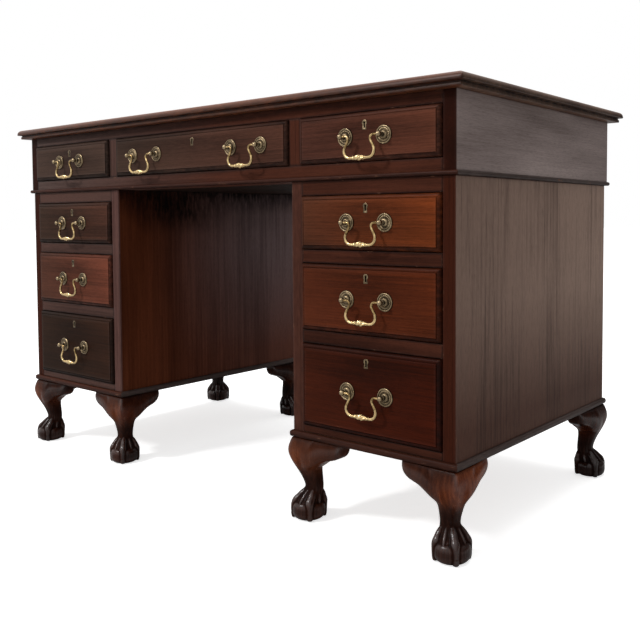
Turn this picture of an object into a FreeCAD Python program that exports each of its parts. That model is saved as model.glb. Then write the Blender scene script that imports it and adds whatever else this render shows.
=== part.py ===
import FreeCAD, Part
import math
import os
import re
import Sketcher

Vector = FreeCAD.Vector
UP = Vector(0, 0, 1)
DOWN = Vector(0, 0, -1)
FORWARD = Vector(0, -1, 0)
BACKWARD = Vector(0, 1, 0)
RIGHT = Vector(1, 0, 0)
QUARTER_TURN = 90
EIGHTH_TURN = 45

doc = FreeCAD.newDocument("KneeholeDesk")
sheet = doc.addObject("Spreadsheet::Sheet", "Dims")

# Driving dimensions of the desk in millimetres, piece by piece.
DIMENSIONS = {
    # Top board with its moulded edge and the leather let into it
    "desk_width": 1288,
    "desk_depth": 668,
    "top_thickness": 22,
    "top_overhang": 25,
    "top_edge_height": 13,
    "top_ovolo_radius": 11,
    "top_quirk_height": 3.5,
    "top_quirk_inset": 10,
    "top_band_inset": 7,
    "leather_border": 79,
    "leather_thickness": 1.5,
    # Frieze carcase
    "frieze_top_rail": 21,
    "frieze_drawer_height": 85,
    "frieze_bottom_rail": 29,
    "frieze_end_thickness": 26,
    "frieze_side_drawer_width": 302,
    "frieze_muntin_width": 28,
    "frieze_partition_thickness": 14,
    "frieze_back_thickness": 15,
    "frieze_board_thickness": 12,
    "frieze_guide_height": 20,
    "bead_height": 8,
    "bead_projection": 4.5,
    "bullnose_share": 0.48,
    # Pedestals
    "pedestal_width": 350,
    "pedestal_inset": 3,
    "pedestal_back_inset": 7,
    "side_thickness": 25,
    "back_thickness": 12,
    "top_board_thickness": 14,
    "pedestal_top_rail": 26,
    "upper_drawer_height": 97,
    "middle_drawer_height": 122,
    "lower_drawer_height": 152,
    "dividing_rail": 24,
    "bottom_rail": 14,
    "moulding_height": 13,
    "moulding_projection": 6,
    "rail_depth": 60,
    "runner_width": 20,
    "stop_length": 32,
    "stop_height": 5,
    "stop_depth": 12,
    "stop_clearance": 0.3,
    "stop_place_share": 0.25,
    # Drawers
    "drawer_gap": 1,
    "drawer_back_space": 56,
    "drawer_side_thickness": 10,
    "drawer_back_thickness": 10,
    "drawer_bottom_thickness": 6,
    "drawer_bottom_rise": 8,
    "drawer_groove_depth": 5,
    "drawer_groove_clearance": 0.2,
    "drawer_top_play": 6,
    "running_clearance": 0.3,
    "front_thickness": 18,
    "lip_radius": 5.5,
    "lip_width": 8,
    "half_turn_share": 0.7071,
    "field_step": 1.2,
    # Handles, escutcheons and locks
    "handle_span": 82,
    "centre_handle_spread": 310,
    "rosette_radius": 16,
    "rosette_rim": 2.7,
    "rosette_hollow_radius": 12.5,
    "rosette_hollow_rise": 1.6,
    "rosette_boss_radius": 7.5,
    "rosette_boss_rise": 5,
    "post_radius": 3,
    "post_reach": 15,
    "post_ball_radius": 5,
    "bail_rod_radius": 2.4,
    "bail_pin_radius": 1.6,
    "bail_pin_square": 2.55,
    "bail_pin_depth": 4,
    "bail_pin_clearance": 0.05,
    "bail_side_play": 0.5,
    "bail_pin_run": 6,
    "bail_curl_radius": 6,
    "bail_neck_length": 12,
    "bail_bend_radius": 12,
    "knop_length": 26,
    "knop_radius": 5.6,
    "keyhole_drop": 15,
    "keyhole_height": 17,
    "keyhole_head_radius": 5.2,
    "keyhole_foot_width": 9,
    "escutcheon_wall": 3.3,
    "escutcheon_depth": 6,
    "lock_width": 48,
    "lock_height": 30,
    "lock_thickness": 11,
    "lock_drop": 20,
    # Cabriole legs
    "leg_height": 154,
    "knee_width": 58,
    "knee_projection": 13,
    "ball_radius": 27,
    "ball_rise": 25.5,
    "foot_setback": 27,
    "claw_radius": 7,
    "bracket_length": 102,
    "bracket_root": 36,
    "bracket_thickness": 34,
    "bracket_setback": 11,
    "knee_drop": 54,
    # Longer than any thickness it passes through
    "cut_overrun": 2,
}

for row, (alias, size) in enumerate(DIMENSIONS.items(), start=1):
    sheet.set(f"A{row}", alias)
    sheet.set(f"B{row}", str(size))
    sheet.setAlias(f"B{row}", alias)
doc.recompute()


def cell(alias):
    """A driving dimension as a plain number."""
    return float(sheet.get(alias))


def bound(formula):
    """The same formula with every size looked up in the sheet."""
    return re.sub(r"[a-z][a-z_]*", lambda word: "Dims." + word.group(0), formula)


nodes = []


def node(label, *pieces):
    """A named part of the desk: one piece, or like pieces kept as separate solids."""
    whole = pieces[0]
    if len(pieces) > 1:
        whole = doc.addObject("Part::Compound", label)
        whole.Links = list(pieces)
    whole.Label = label
    nodes.append(whole)


def seat(piece, x, y, z):
    """Puts a piece's own origin at the place that three formulas give."""
    for axis, formula in zip("xyz", (x, y, z)):
        piece.setExpression("Placement.Base." + axis, bound(formula))
    return piece


def plank(name, length, width, height, centre_x, y, z):
    """A board: length along X about centre_x, its front face at y and its underside at z."""
    board = doc.addObject("Part::Box", name)
    board.setExpression("Length", bound(length))
    board.setExpression("Width", bound(width))
    board.setExpression("Height", bound(height))
    return seat(board, f"{centre_x} - ({length}) / 2", y, z)


def cut(name, base, *tools):
    """The base piece with every tool taken out of it."""
    tool = tools[0]
    if len(tools) > 1:
        tool = doc.addObject("Part::Compound", name + "_cutters")
        tool.Links = list(tools)
    result = doc.addObject("Part::Cut", name)
    result.Base = base
    result.Tool = tool
    return result


def shaped(name, shape):
    feature = doc.addObject("Part::Feature", name)
    feature.Shape = shape
    return feature


def copy_of(master, name, x, y, z, turn=0):
    """Another of a finished piece, turned about the upright and seated in its own place."""
    twin = shaped(name, master.Shape)
    twin.Placement = FreeCAD.Placement(Vector(), FreeCAD.Rotation(UP, turn))
    return seat(twin, x, y, z)


def origin_plane(body, role):
    return next(plane for plane in body.Origin.OriginFeatures if plane.Role == role)


def rectangle(body, name, role, width, height, lift):
    """A rectangle about the body's axis on one of its origin planes, lifted along the normal."""
    sketch = body.newObject("Sketcher::SketchObject", name)
    sketch.AttachmentSupport = [(origin_plane(body, role), "")]
    sketch.MapMode = "FlatFace"
    sketch.setExpression("AttachmentOffset.Base.z", bound(lift))
    corners = [Vector(-1, -1, 0), Vector(1, -1, 0), Vector(1, 1, 0), Vector(-1, 1, 0)]
    for start, end in zip(corners, corners[1:] + corners[:1]):
        sketch.addGeometry(Part.LineSegment(start, end), False)
    for side in range(4):
        sketch.addConstraint(Sketcher.Constraint("Coincident", side, 2, (side + 1) % 4, 1))
    for side, lie in enumerate(("Horizontal", "Vertical", "Horizontal", "Vertical")):
        sketch.addConstraint(Sketcher.Constraint(lie, side))
    sketch.addConstraint(Sketcher.Constraint("Symmetric", 0, 1, 2, 1, -1, 1))
    for side, title, formula in ((0, "across", width), (1, "up", height)):
        index = sketch.addConstraint(Sketcher.Constraint("Distance", side, 2))
        sketch.renameConstraint(index, title)
        sketch.setExpression("Constraints." + title, bound(formula))
    return sketch


def pad(body, sketch, length, taper=0):
    """A sketch drawn out along its normal, leaning inwards by the taper's degrees."""
    feature = body.newObject("PartDesign::Pad", sketch.Name + "_pad")
    feature.Profile = sketch
    feature.setExpression("Length", bound(length))
    feature.TaperAngle = -taper
    return feature


def pocket(body, sketch, length):
    feature = body.newObject("PartDesign::Pocket", sketch.Name + "_pocket")
    feature.Profile = sketch
    feature.setExpression("Length", bound(length))
    return feature


def round_over(body, base, radius, direction):
    """Rounds the edges that lie on the face furthest along a direction."""
    doc.recompute()
    reach = max(vertex.Point.dot(direction) for vertex in base.Shape.Vertexes)
    names = []
    for index, edge in enumerate(base.Shape.Edges, start=1):
        nearest = min(vertex.Point.dot(direction) for vertex in edge.Vertexes)
        if math.isclose(nearest, reach):
            names.append(f"Edge{index}")
    feature = body.newObject("PartDesign::Fillet", base.Name + "_round")
    feature.Base = (base, names)
    feature.setExpression("Radius", bound(radius))
    return feature


# Levels from the floor up, and the planes of the carcases
ORIGIN = "0"
MOULDING_TOP = "(leg_height + moulding_height)"
LOWER_OPENING = f"({MOULDING_TOP} + bottom_rail)"
LOWER_OPENING_TOP = f"({LOWER_OPENING} + lower_drawer_height)"
MIDDLE_OPENING = f"({LOWER_OPENING_TOP} + dividing_rail)"
MIDDLE_OPENING_TOP = f"({MIDDLE_OPENING} + middle_drawer_height)"
UPPER_OPENING = f"({MIDDLE_OPENING_TOP} + dividing_rail)"
UPPER_OPENING_TOP = f"({UPPER_OPENING} + upper_drawer_height)"
PEDESTAL_TOP = f"({UPPER_OPENING_TOP} + pedestal_top_rail)"
FRIEZE_OPENING = f"({PEDESTAL_TOP} + frieze_bottom_rail)"
FRIEZE_OPENING_TOP = f"({FRIEZE_OPENING} + frieze_drawer_height)"
FRIEZE_TOP = f"({FRIEZE_OPENING_TOP} + frieze_top_rail)"

# The handles reach past the front of the top, so the top lies half that much behind the origin.
TOP_MIDDLE = "((post_reach + knop_radius + lip_radius + field_step - top_overhang) / 2)"
FRIEZE_WIDTH = "(desk_width - 2 * top_overhang)"
FRIEZE_DEPTH = "(desk_depth - 2 * top_overhang)"
FRIEZE_FRONT = f"({TOP_MIDDLE} + top_overhang - desk_depth / 2)"
FRIEZE_BACK = f"({TOP_MIDDLE} + desk_depth / 2 - top_overhang)"
FRIEZE_INSIDE = f"({FRIEZE_WIDTH} - 2 * frieze_end_thickness)"
FRIEZE_HEIGHT = f"({FRIEZE_TOP} - {PEDESTAL_TOP})"
CENTRE_OPENING = f"({FRIEZE_INSIDE} - 2 * frieze_side_drawer_width - 2 * frieze_muntin_width)"
MUNTIN_CENTRE = f"({CENTRE_OPENING} / 2 + frieze_muntin_width / 2)"
FRIEZE_SIDE_CENTRE = f"({FRIEZE_INSIDE} / 2 - frieze_side_drawer_width / 2)"

KNEEHOLE = f"({FRIEZE_WIDTH} - 2 * pedestal_inset - 2 * pedestal_width)"
PEDESTAL_CENTRE = f"({KNEEHOLE} / 2 + pedestal_width / 2)"
PEDESTAL_FRONT = f"({FRIEZE_FRONT} + pedestal_inset)"
PEDESTAL_BACK = f"({FRIEZE_BACK} - pedestal_back_inset)"
PEDESTAL_DEPTH = f"({PEDESTAL_BACK} - {PEDESTAL_FRONT})"
PEDESTAL_MIDDLE = f"(({PEDESTAL_BACK} + {PEDESTAL_FRONT}) / 2)"
PEDESTAL_OPENING = "(pedestal_width - 2 * side_thickness)"
DRAWER_DEPTH = f"({PEDESTAL_DEPTH} - back_thickness - drawer_back_space)"


def edge_ring(label, width, depth, height, projection, rounding, middle_y, z):
    """A moulding mitred round a carcase: a rounded slab with the carcase's outline cut out."""
    body = doc.addObject("PartDesign::Body", label)
    outside = (f"{width} + 2 * {projection}", f"{depth} + 2 * {projection}")
    slab = pad(body, rectangle(body, label + "_outline", "XY_Plane", *outside, ORIGIN), height)
    upper = round_over(body, slab, rounding, UP)
    round_over(body, upper, rounding, DOWN)
    inside = rectangle(body, label + "_inside", "XY_Plane", width, depth, height)
    pocket(body, inside, f"{height} + cut_overrun")
    node(label, seat(body, ORIGIN, middle_y, z))
    return body


# Top: a board with an ovolo upper edge over a quirk and a stepped-back band, and its leather
top = doc.addObject("PartDesign::Body", "desk_top")
band_height = "(top_thickness - top_edge_height - top_quirk_height)"
band_size = ("desk_width - 2 * top_band_inset", "desk_depth - 2 * top_band_inset")
pad(top, rectangle(top, "top_band", "XY_Plane", *band_size, ORIGIN), band_height)
quirk_size = ("desk_width - 2 * top_quirk_inset", "desk_depth - 2 * top_quirk_inset")
pad(top, rectangle(top, "top_quirk", "XY_Plane", *quirk_size, band_height), "top_quirk_height")
edge_lift = f"{band_height} + top_quirk_height"
edge_sketch = rectangle(top, "top_edge", "XY_Plane", "desk_width", "desk_depth", edge_lift)
round_over(top, pad(top, edge_sketch, "top_edge_height"), "top_ovolo_radius", UP)
leather_size = ("desk_width - 2 * leather_border", "desk_depth - 2 * leather_border")
recess = rectangle(top, "leather_recess", "XY_Plane", *leather_size, "top_thickness")
pocket(top, recess, "leather_thickness")
node("desk_top", seat(top, ORIGIN, TOP_MIDDLE, FRIEZE_TOP))
leather_z = f"{FRIEZE_TOP} + top_thickness - leather_thickness"
leather_y = f"{TOP_MIDDLE} - ({leather_size[1]}) / 2"
leather = plank("leather_panel", *leather_size, "leather_thickness", ORIGIN, leather_y, leather_z)
node("writing_leather", leather)

# Frieze carcase: ends, back, bottom board, front frame, partitions, runners and guides, bead
RAIL_BACK = f"({FRIEZE_FRONT} + rail_depth)"
BACK_FACE = f"({FRIEZE_BACK} - frieze_back_thickness)"
BEHIND_RAIL = f"({BACK_FACE} - {RAIL_BACK})"
BOARD_TOP = f"({PEDESTAL_TOP} + frieze_board_thickness)"
END_CENTRE = f"({FRIEZE_WIDTH} / 2 - frieze_end_thickness / 2)"
SIDES = (("left", "-1"), ("right", "1"))

node("frieze_ends", *[
    plank(f"frieze_{side}_end", "frieze_end_thickness", FRIEZE_DEPTH, FRIEZE_HEIGHT,
          f"{sign} * {END_CENTRE}", FRIEZE_FRONT, PEDESTAL_TOP)
    for side, sign in SIDES])
node("frieze_back", plank("frieze_back_board", FRIEZE_INSIDE, "frieze_back_thickness", FRIEZE_HEIGHT,
                          ORIGIN, BACK_FACE, PEDESTAL_TOP))
node("frieze_bottom_board", plank("frieze_dust_board", FRIEZE_INSIDE, BEHIND_RAIL, "frieze_board_thickness",
                                  ORIGIN, RAIL_BACK, PEDESTAL_TOP))
frame_pieces = [
    plank("frieze_upper_rail", FRIEZE_INSIDE, "rail_depth", "frieze_top_rail",
          ORIGIN, FRIEZE_FRONT, FRIEZE_OPENING_TOP),
    plank("frieze_lower_rail", FRIEZE_INSIDE, "rail_depth", "frieze_bottom_rail",
          ORIGIN, FRIEZE_FRONT, PEDESTAL_TOP)]
for side, sign in SIDES:
    frame_pieces.append(plank(f"frieze_{side}_muntin", "frieze_muntin_width", "rail_depth",
                              "frieze_drawer_height", f"{sign} * {MUNTIN_CENTRE}",
                              FRIEZE_FRONT, FRIEZE_OPENING))
node("frieze_front_frame", *frame_pieces)
node("frieze_partitions", *[
    plank(f"frieze_{side}_partition", "frieze_partition_thickness", BEHIND_RAIL,
          f"{FRIEZE_TOP} - {BOARD_TOP}", f"{sign} * {MUNTIN_CENTRE}", RAIL_BACK, BOARD_TOP)
    for side, sign in SIDES])


def stops(name, opening, centre_x, front, z):
    """Two blocks on the rail that the back of a closed drawer front comes up against."""
    blocks = []
    for side, sign in SIDES:
        blocks.append(plank(f"{name}_{side}_stop", "stop_length", "stop_depth", "stop_height",
                            f"{centre_x} + {sign} * {opening} * stop_place_share",
                            f"{front} + front_thickness + stop_clearance", z))
    return blocks


# Between a partition and the drawer lies a guide as thick as the muntin stands proud of it.
GUIDE_WIDTH = "((frieze_muntin_width - frieze_partition_thickness) / 2)"
RUNNER_HEIGHT = f"({FRIEZE_OPENING} - {BOARD_TOP})"
runner_pieces = stops("frieze_centre", CENTRE_OPENING, ORIGIN, FRIEZE_FRONT, FRIEZE_OPENING)
for side, sign in SIDES:
    inner_edge = f"({MUNTIN_CENTRE} - frieze_partition_thickness / 2)"
    outer_edge = f"({MUNTIN_CENTRE} + frieze_partition_thickness / 2)"
    wide = f"(runner_width + {GUIDE_WIDTH})"
    places = (("end", "runner_width", f"({FRIEZE_INSIDE} / 2 - runner_width / 2)"),
              ("outer", wide, f"({outer_edge} + {wide} / 2)"),
              ("inner", wide, f"({inner_edge} - {wide} / 2)"))
    for title, width, centre in places:
        runner_pieces.append(plank(f"frieze_{side}_{title}_runner", width, BEHIND_RAIL, RUNNER_HEIGHT,
                                   f"{sign} * {centre}", RAIL_BACK, BOARD_TOP))
    for title, centre in (("outer", f"({outer_edge} + {GUIDE_WIDTH} / 2)"),
                          ("inner", f"({inner_edge} - {GUIDE_WIDTH} / 2)")):
        runner_pieces.append(plank(f"frieze_{side}_{title}_guide", GUIDE_WIDTH, BEHIND_RAIL,
                                   "frieze_guide_height", f"{sign} * {centre}", RAIL_BACK, FRIEZE_OPENING))
    runner_pieces += stops(f"frieze_{side}", "frieze_side_drawer_width", f"{sign} * {FRIEZE_SIDE_CENTRE}",
                           FRIEZE_FRONT, FRIEZE_OPENING)
node("frieze_runners", *runner_pieces)
edge_ring("frieze_bead", FRIEZE_WIDTH, FRIEZE_DEPTH, "bead_height", "bead_projection",
          "bead_height * bullnose_share", TOP_MIDDLE, PEDESTAL_TOP)

# Cabriole leg. Each row of the post is a square with its corners cut off, one corner to the front:
# its height, how far that corner stands out past the carcase, its side, and the cut.
POST_SHARES = (
    (1.000, 0.30, 0.97, 0.040),
    (0.915, 0.78, 0.97, 0.055),
    (0.825, 1.00, 0.92, 0.085),
    (0.715, 0.45, 0.83, 0.115),
    (0.610, -0.36, 0.70, 0.145),
    (0.510, -1.12, 0.59, 0.180),
    (0.405, -1.64, 0.53, 0.215),
    (0.310, -1.60, 0.56, 0.235),
)
# A claw from the ankle to the floor: height, distance from the foot's middle and thickness,
# as shares of the ball's rise, the ball's radius and the claw's own radius.
CLAW_SHARES = (
    (2.06, 0.42, 0.85),
    (1.60, 0.80, 1.08),
    (1.22, 0.97, 1.12),
    (0.62, 1.05, 1.02),
    (0.18, 0.98, 0.72),
)
# A knee bracket from the leg outwards: distance along the carcase, height of the lower edge,
# and how far the face lies in from the carcase at the top, at the swell and at the lower edge.
BRACKET_SHARES = (
    (0.00, 1.00, 0.00, -0.30, 0.55),
    (0.55, 0.62, 0.20, 0.05, 0.80),
    (1.00, 0.30, 1.00, 1.00, 1.30),
)
# Small round forms are faceted: they repeat many times over the desk.
TOE_SIDES = 5
BALL_SIDES = 8
BALL_ROWS = 4
FLATNESS = 1e-6


def flat(*corners):
    """A flat face on corners that lie in one plane."""
    return Part.Face(Part.makePolygon(corners + corners[:1]))


def skinned(rings):
    """A solid with flat faces from ring to ring of corners, in triangles where four aren't level."""
    faces = [flat(*rings[0]), flat(*rings[-1])]
    for low, high in zip(rings, rings[1:]):
        for index in range(len(low)):
            first, second, third, fourth = low[index - 1], low[index], high[index], high[index - 1]
            twist = (second - first).cross(third - first).dot(fourth - first)
            if math.isclose(twist, 0, abs_tol=FLATNESS):
                faces.append(flat(first, second, third, fourth))
            else:
                faces += [flat(first, second, third), flat(first, third, fourth)]
    shell = Part.makeShell(faces)
    shell.sewShape()
    return Part.makeSolid(shell)


def polygon(middle, across, upright, radius, sides):
    """Corners of a regular polygon about a middle, with a flat side towards its first direction."""
    corners = []
    for index in range(sides):
        angle = math.tau * (index + 0.5) / sides
        corners.append(middle + across * (radius * math.cos(angle)) + upright * (radius * math.sin(angle)))
    return corners


def cut_square(side, corner_cut, middle, z):
    """Corners of a square with its own corners cut off, turned so that its diagonal lies along X."""
    half = side / 2
    straight = half - corner_cut
    corners = []
    for quarter in range(4):
        turn = FreeCAD.Rotation(UP, quarter * QUARTER_TURN + EIGHTH_TURN)
        for along in (-straight, straight):
            corners.append(Vector(middle, 0, z) + turn.multVec(Vector(half, along, 0)))
    return corners


def cabriole_post():
    """The leg from the carcase to the foot, skinned through its cut squares."""
    rings = []
    for height_share, front_share, side_share, cut_share in POST_SHARES:
        side = side_share * cell("knee_width")
        corner_cut = cut_share * side
        corner = (side - corner_cut) / math.sqrt(2)
        middle = front_share * cell("knee_projection") - corner
        rings.append(cut_square(side, corner_cut, middle, height_share * cell("leg_height")))
    return skinned(rings)


def claw(turn):
    """A toe skinned through polygons that stand square to its run over the ball."""
    stations = []
    for rise_share, reach_share, thick_share in CLAW_SHARES:
        stations.append((Vector(reach_share * cell("ball_radius"), 0, rise_share * cell("ball_rise")),
                         thick_share * cell("claw_radius")))
    rings = []
    last = len(stations) - 1
    for index, (place, radius) in enumerate(stations):
        run = stations[min(index + 1, last)][0] - stations[max(index - 1, 0)][0]
        outward = BACKWARD.cross(run).normalize()
        rings.append(polygon(place, outward, BACKWARD, radius, TOE_SIDES))
    toe = skinned(rings)
    toe.rotate(Vector(), UP, turn)
    return toe


def ball():
    """The ball in flat faces, level with the floor below and hidden in the ankle above."""
    middle = UP * cell("ball_rise")
    lowest = math.asin(-cell("ball_rise") / cell("ball_radius"))
    rings = []
    for row in range(BALL_ROWS + 1):
        angle = lowest * (1 - 2 * row / BALL_ROWS)
        radius = cell("ball_radius") * math.cos(angle)
        level = middle + UP * (cell("ball_radius") * math.sin(angle))
        rings.append(polygon(level, RIGHT, BACKWARD, radius, BALL_SIDES))
    return skinned(rings)


def ball_and_claw():
    """The ball gripped by four toes, trimmed level at the floor."""
    foot = ball().multiFuse([claw(quarter * QUARTER_TURN) for quarter in range(4)])
    reach = 2 * (cell("ball_radius") + 2 * cell("claw_radius"))
    ground = Part.makeBox(reach, reach, reach, Vector(-reach / 2, -reach / 2, -reach))
    foot = foot.cut(ground)
    foot.translate(Vector(-cell("foot_setback"), 0, 0))
    return foot


def knee_bracket():
    """A bracket that carries the knee's swell along the carcase, on its corner's own axes."""
    rings = []
    top_z = cell("leg_height")
    for along_share, drop_share, top_share, swell_share, low_share in BRACKET_SHARES:
        root = cell("bracket_root")
        along = root + along_share * (cell("bracket_length") - root)
        drop = drop_share * cell("knee_drop")
        inset = cell("bracket_setback")
        rings.append([Vector(-along, top_share * inset, top_z),
                      Vector(-along, swell_share * inset, top_z - drop / 2),
                      Vector(-along, low_share * inset, top_z - drop),
                      Vector(-along, cell("bracket_thickness"), top_z - drop),
                      Vector(-along, cell("bracket_thickness"), top_z)])
    return skinned(rings)


def biggest(shape):
    return max(shape.Solids, key=lambda solid: solid.Volume)


def carved_leg():
    """One leg with its corner at the origin and its knee towards the front right, and its brackets."""
    post = cabriole_post()
    foot = ball_and_claw()
    for piece in (post, foot):
        piece.rotate(Vector(), UP, -EIGHTH_TURN)
    whole = post.fuse(foot).removeSplitter()
    front = knee_bracket()
    side = knee_bracket().mirror(Vector(), Vector(1, 1, 0))
    lap = front.common(side)
    front = front.cut(whole).cut(lap)
    side = side.cut(whole).cut(lap)
    return [("leg", biggest(whole)), ("front_bracket", biggest(front)), ("side_bracket", biggest(side))]


leg_masters = []
for title, shape in carved_leg():
    leg_masters.append((title, shaped("cabriole_" + title, shape)))

CORNERS = (("front_right", "1", PEDESTAL_FRONT, 0), ("back_right", "1", PEDESTAL_BACK, 90),
           ("back_left", "-1", PEDESTAL_BACK, 180), ("front_left", "-1", PEDESTAL_FRONT, 270))

# Pedestals
for side, sign in SIDES:
    name = side + "_pedestal"
    centre = f"({sign} * {PEDESTAL_CENTRE})"
    inside_back = f"({PEDESTAL_BACK} - back_thickness)"
    behind = f"({PEDESTAL_FRONT} + rail_depth)"
    strip_length = f"({inside_back} - {behind})"
    height = f"({PEDESTAL_TOP} - leg_height)"
    cheek = "(pedestal_width / 2 - side_thickness / 2)"
    node(name + "_sides", *[
        plank(f"{name}_{hand}_side", "side_thickness", PEDESTAL_DEPTH, height,
              f"{centre} + {lean} * {cheek}", PEDESTAL_FRONT, "leg_height")
        for hand, lean in SIDES])
    node(name + "_back", plank(name + "_back_board", PEDESTAL_OPENING, "back_thickness", height,
                               centre, inside_back, "leg_height"))
    board_depth = f"({inside_back} - {PEDESTAL_FRONT})"
    node(name + "_boards",
         plank(name + "_bottom_board", PEDESTAL_OPENING, board_depth, "moulding_height",
               centre, PEDESTAL_FRONT, "leg_height"),
         plank(name + "_top_board", PEDESTAL_OPENING, strip_length, "top_board_thickness",
               centre, behind, f"{PEDESTAL_TOP} - top_board_thickness"))
    rails = (("bottom", "bottom_rail", MOULDING_TOP),
             ("lower", "dividing_rail", LOWER_OPENING_TOP),
             ("upper", "dividing_rail", MIDDLE_OPENING_TOP),
             ("top", "pedestal_top_rail", UPPER_OPENING_TOP))
    kicker = ("kicker", "pedestal_top_rail - top_board_thickness", UPPER_OPENING_TOP)
    node(name + "_front_rails", *[
        plank(f"{name}_{title}_rail", PEDESTAL_OPENING, "rail_depth", rail, centre, PEDESTAL_FRONT, level)
        for title, rail, level in rails])
    strips = []
    for title, rail, level in rails[:-1] + (kicker,):
        for hand, lean in SIDES:
            beside = f"({PEDESTAL_OPENING} / 2 - runner_width / 2)"
            strips.append(plank(f"{name}_{title}_{hand}_runner", "runner_width", strip_length, rail,
                                f"{centre} + {lean} * {beside}", behind, level))
    for title, level in (("lower", LOWER_OPENING), ("middle", MIDDLE_OPENING), ("upper", UPPER_OPENING)):
        strips += stops(f"{name}_{title}", PEDESTAL_OPENING, centre, PEDESTAL_FRONT, level)
    node(name + "_runners", *strips)
    moulding = edge_ring(name + "_base_moulding", "pedestal_width", PEDESTAL_DEPTH, "moulding_height",
                         "moulding_projection", "moulding_height * bullnose_share",
                         PEDESTAL_MIDDLE, "leg_height")
    moulding.setExpression("Placement.Base.x", bound(centre))
    legs = []
    for corner, lean, y, turn in CORNERS:
        for title, master in leg_masters:
            legs.append(copy_of(master, f"{name}_{corner}_{title}",
                                f"{centre} + {lean} * pedestal_width / 2", y, ORIGIN, turn))
    node(name + "_legs", *legs)

# Handle pieces, each made once about its own origin: the middle of its seat on the drawer's face
FACE_PROUD = "(lip_radius + field_step)"
ROSETTE_SIDES = 8
POST_SIDES = 6
ROD_SIDES = 6
CURL_SWEEP = 120
CURL_STEPS = 2
BEND_STEPS = 2
# Rows of the post's ball, in degrees from its middle towards the drawer and away from it
BALL_LATITUDES = (-25, 25, 53)


def turned(rows, sides):
    """A turned piece that stands out from the drawer's face: its radius at each distance from it."""
    return skinned([polygon(FORWARD * rise, RIGHT, UP, radius, sides) for radius, rise in rows])


def turned_rosette():
    """A backplate with a rim, a hollow and a raised boss."""
    rim_radius = (cell("rosette_radius") + cell("rosette_hollow_radius")) / 2
    return turned(((cell("rosette_radius"), 0), (rim_radius, cell("rosette_rim")),
                   (cell("rosette_boss_radius"), cell("rosette_hollow_rise")),
                   ((cell("rosette_boss_radius") + cell("post_radius")) / 2, cell("rosette_boss_rise"))),
                  ROSETTE_SIDES)


def handle_post(sign):
    """A post that widens from the rosette's boss to a ball head, bored for the bail's pin."""
    rows = [(cell("post_radius"), cell("rosette_boss_rise"))]
    for latitude in BALL_LATITUDES:
        angle = math.radians(latitude)
        rows.append((cell("post_ball_radius") * math.cos(angle),
                     cell("post_reach") + cell("post_ball_radius") * math.sin(angle)))
    inward = RIGHT * -sign
    bore_end = FORWARD * cell("post_reach") + inward * (cell("post_ball_radius") - cell("bail_pin_depth"))
    bore_radius = cell("bail_pin_radius") + cell("bail_pin_clearance")
    bore_corner = bore_radius / math.cos(math.pi / ROD_SIDES)
    depth = inward * (cell("bail_pin_depth") + cell("cut_overrun"))
    bore = skinned([polygon(place, BACKWARD, UP, bore_corner, ROD_SIDES)
                    for place in (bore_end, bore_end + depth)])
    return turned(rows, POST_SIDES).cut(bore)


def arm_stations():
    """Places and radii along one arm of a bail, from its end through curl, neck and bend to the grip."""
    wire = cell("bail_rod_radius")
    curl = cell("bail_curl_radius")
    bend = cell("bail_bend_radius")
    shoulder = RIGHT * (cell("handle_span") / 2 - cell("post_ball_radius") - cell("bail_side_play"))
    stations = [(shoulder, wire)]
    curl_middle = shoulder - RIGHT * cell("bail_pin_run") + DOWN * curl

    def spoke(radius, degrees):
        return FreeCAD.Rotation(FORWARD, degrees).multVec(RIGHT * radius)

    for step in range(CURL_STEPS + 1):
        stations.append((curl_middle + spoke(curl, QUARTER_TURN + CURL_SWEEP * step / CURL_STEPS), wire))
    neck_side = QUARTER_TURN + CURL_SWEEP
    neck_end = stations[-1][0] + spoke(cell("bail_neck_length"), QUARTER_TURN + neck_side)
    bend_middle = neck_end + spoke(bend, neck_side)
    for step in range(BEND_STEPS + 1):
        turn = neck_side + 2 * QUARTER_TURN - CURL_SWEEP * step / BEND_STEPS
        stations.append((bend_middle + spoke(bend, turn), wire))
    grip = Vector(0, 0, stations[-1][0].z)
    stations.append((grip + RIGHT * (cell("knop_length") / 2), wire))
    stations.append((grip, cell("knop_radius")))
    return stations


def bail_pin(root, outward):
    """A square pin whose corners are turned round, so that they bear in the post's bore."""
    length = outward * (cell("bail_side_play") + cell("bail_pin_depth"))
    square = flat(*polygon(root, BACKWARD, UP, cell("bail_pin_square") / math.sqrt(2), 4))
    barrel = Part.makeCylinder(cell("bail_pin_radius"), length.Length, root, outward)
    return square.extrude(length).common(barrel)


def swan_neck_bail():
    """A rod with a pin at each end, bent in mitred straights and swelling in its grip."""
    arm = arm_stations()
    stations = arm + [(Vector(-place.x, 0, place.z), radius) for place, radius in arm[-2::-1]]
    runs = [(end[0] - start[0]).normalize() for start, end in zip(stations, stations[1:])]
    rings = []
    for (place, radius), before, after in zip(stations, runs[:1] + runs, runs + runs[-1:]):
        mitre = (before + after).normalize()
        outward = mitre.cross(BACKWARD) / mitre.dot(after)
        rings.append(polygon(place, outward, BACKWARD, radius, ROD_SIDES))
    return skinned(rings).multiFuse([bail_pin(stations[0][0], RIGHT), bail_pin(stations[-1][0], -RIGHT)])


NECK_ANGLE = -50
HEAD_SIDES = 4


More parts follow.
